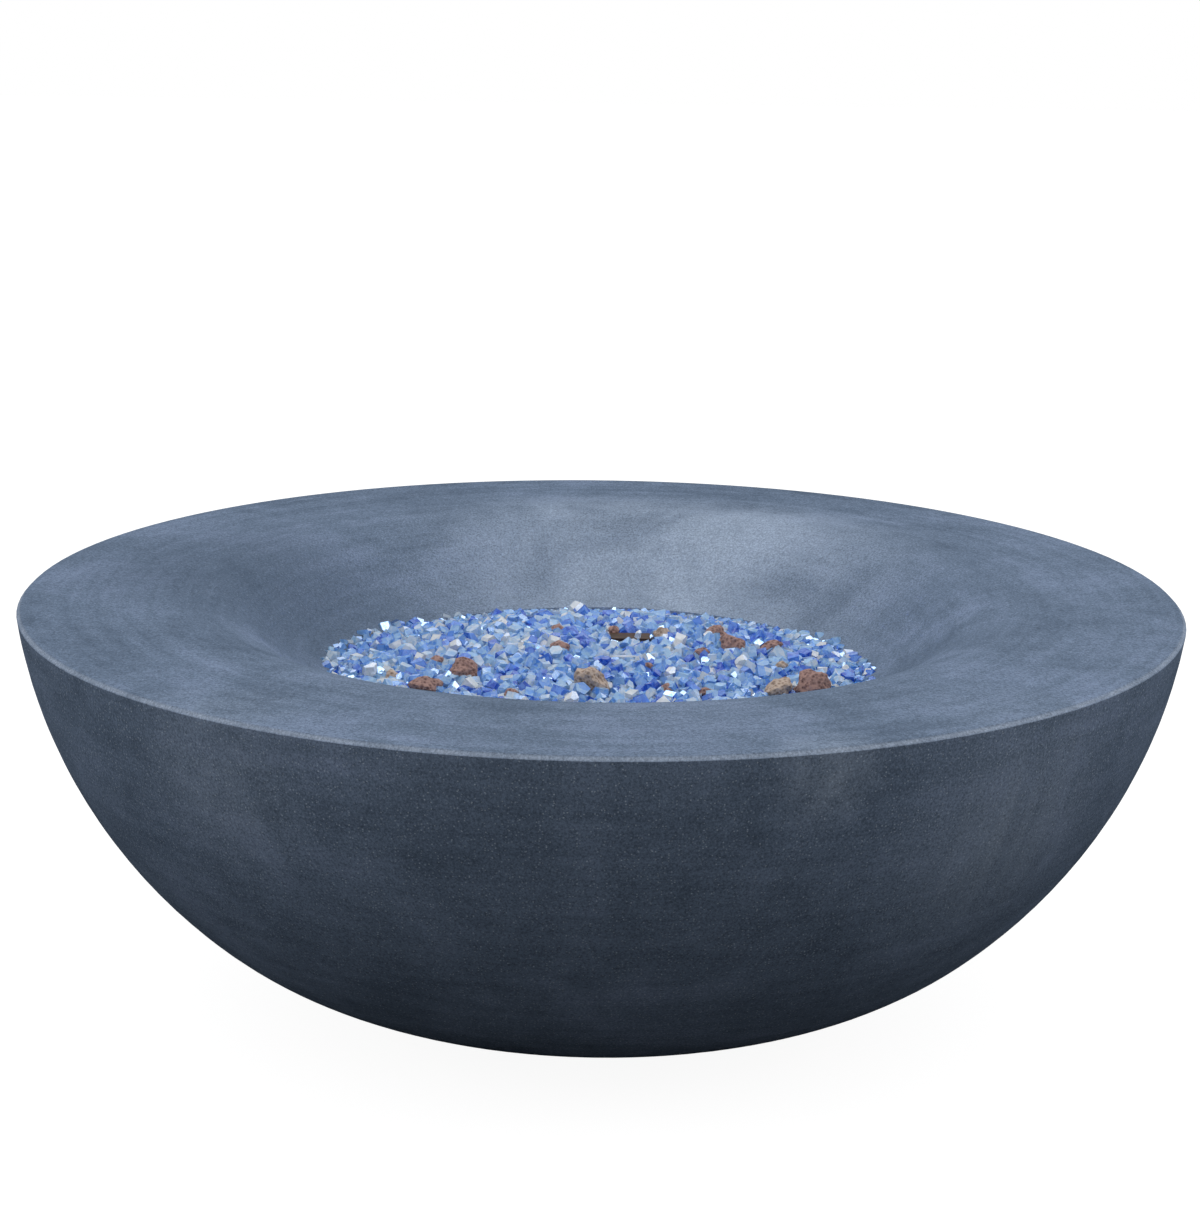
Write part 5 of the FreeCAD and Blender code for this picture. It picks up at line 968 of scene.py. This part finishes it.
recesses = bmesh.new()
recess_count = 0
for node in ("panel_screws", "valve_screws", "shield_screws"):
    for group in islands(frame["nodes"][node]):
        top = max(spot.dot(OUTWARD) for spot in group)
        rim = [spot for spot in group if spot.dot(OUTWARD) > top - FACE_DEPTH]
        middle = sum(rim, Vector()) / len(rim)
        turned = RECESS_TURN + recess_count
        add_bar(recesses, RECESS_SIZE, middle, turned)
        add_bar(recesses, RECESS_SIZE, middle, turned + math.pi / 2)
        recess_count += 1
recess_piece = finish_piece(recesses, "screw_recesses", "bowl", recess_shade)
print("screw recesses:", recess_count)

# %% [markdown]
# ## A plain studio
#
# The photograph is cut out on pure white. The world is therefore white for the camera and for
# reflections, and a soft grey for the light that falls on the bowl.

# %% World
WORLD_LEVEL = 0.68


def seen_rays(tree):
    """1 for rays that the camera sees, straight, mirrored or through glass, and 0 for others."""
    ray = add_node(tree, "ShaderNodeLightPath")
    seen = add_node(tree, "ShaderNodeMath", {"operation": "MAXIMUM"},
                    {0: ray.outputs["Is Camera Ray"], 1: ray.outputs["Is Glossy Ray"]})
    seen = add_node(tree, "ShaderNodeMath", {"operation": "MAXIMUM"},
                    {0: seen.outputs[0], 1: ray.outputs["Is Transmission Ray"]})
    return seen.outputs[0]


world = bpy.data.worlds.new("studio")
world.use_nodes = True
bpy.context.scene.world = world
tree = world.node_tree
tree.nodes.clear()
level = add_node(tree, "ShaderNodeMapRange", {"To Min": WORLD_LEVEL, "To Max": 1.0},
                 {"Value": seen_rays(tree)})
sky = add_node(tree, "ShaderNodeBackground", {"Color": (1, 1, 1, 1)},
               {"Strength": level.outputs[0]})
add_node(tree, "ShaderNodeOutputWorld", links={"Surface": sky.outputs[0]})
print("the world lights the bowl at", WORLD_LEVEL)

# %% [markdown]
# ### Floor of white paper
#
# The floor is white for the camera, apart from the faint shadow of the bowl, but dark for light
# that bounces off it, because the underside of the real bowl is almost black.

# %% Floor
FLOOR_HALF = 12.0
FLOOR_GREY = "#1e2023"
PAPER_GLOW = 0.92
PAPER_WHITE = (0.25, 0.25, 0.25, 1.0)

floor_mesh = bmesh.new()
bmesh.ops.create_grid(floor_mesh, x_segments=1, y_segments=1, size=FLOOR_HALF)
floor_data = bpy.data.meshes.new("studio_floor")
floor_mesh.to_mesh(floor_data)
floor_mesh.free()
floor = bpy.data.objects.new("studio_floor", floor_data)
bpy.context.scene.collection.objects.link(floor)
paper = bpy.data.materials.new("studio_paper")
paper.use_nodes = True
tree = paper.node_tree
tree.nodes.clear()
matt = add_node(tree, "ShaderNodeBsdfDiffuse", {"Color": linear(FLOOR_GREY)})
white = add_node(tree, "ShaderNodeBsdfDiffuse", {"Color": PAPER_WHITE})
glow = add_node(tree, "ShaderNodeEmission", {"Strength": PAPER_GLOW})
bright = add_node(tree, "ShaderNodeAddShader", links={0: white.outputs[0], 1: glow.outputs[0]})
both = add_node(tree, "ShaderNodeMixShader",
                links={0: seen_rays(tree), 1: matt.outputs[0], 2: bright.outputs[0]})
add_node(tree, "ShaderNodeOutputMaterial", links={"Surface": both.outputs[0]})
floor_data.materials.append(paper)
print("floor is", round(FLOOR_HALF * 2), "m wide")

# %% [markdown]
# ### Lamps
#
# A wide lamp overhead does most of the work, and a smaller one at each side rounds the wall.

# %% Lamps
LAMP_AIM = Vector((0, 0, 0.25))
LAMPS = (
    # name, place, size in metres, power in watts
    ("overhead_softbox", (0.1, 0.3, 3.4), 3.4, 44.0),
    ("left_fill", (-3.2, -0.9, 1.2), 1.6, 17.0),
    ("right_fill", (3.2, -0.5, 1.2), 1.6, 15.0),
)
for name, spot, size, power in LAMPS:
    lamp_data = bpy.data.lights.new(name, "AREA")
    lamp_data.shape = "SQUARE"
    lamp_data.size = size
    lamp_data.energy = power
    lamp = bpy.data.objects.new(name, lamp_data)
    facing = (LAMP_AIM - Vector(spot)).to_track_quat("-Z", "Y")
    lamp.matrix_world = Matrix.Translation(spot) @ facing.to_matrix().to_4x4()
    bpy.context.scene.collection.objects.link(lamp)
print("lamps:", len(LAMPS))
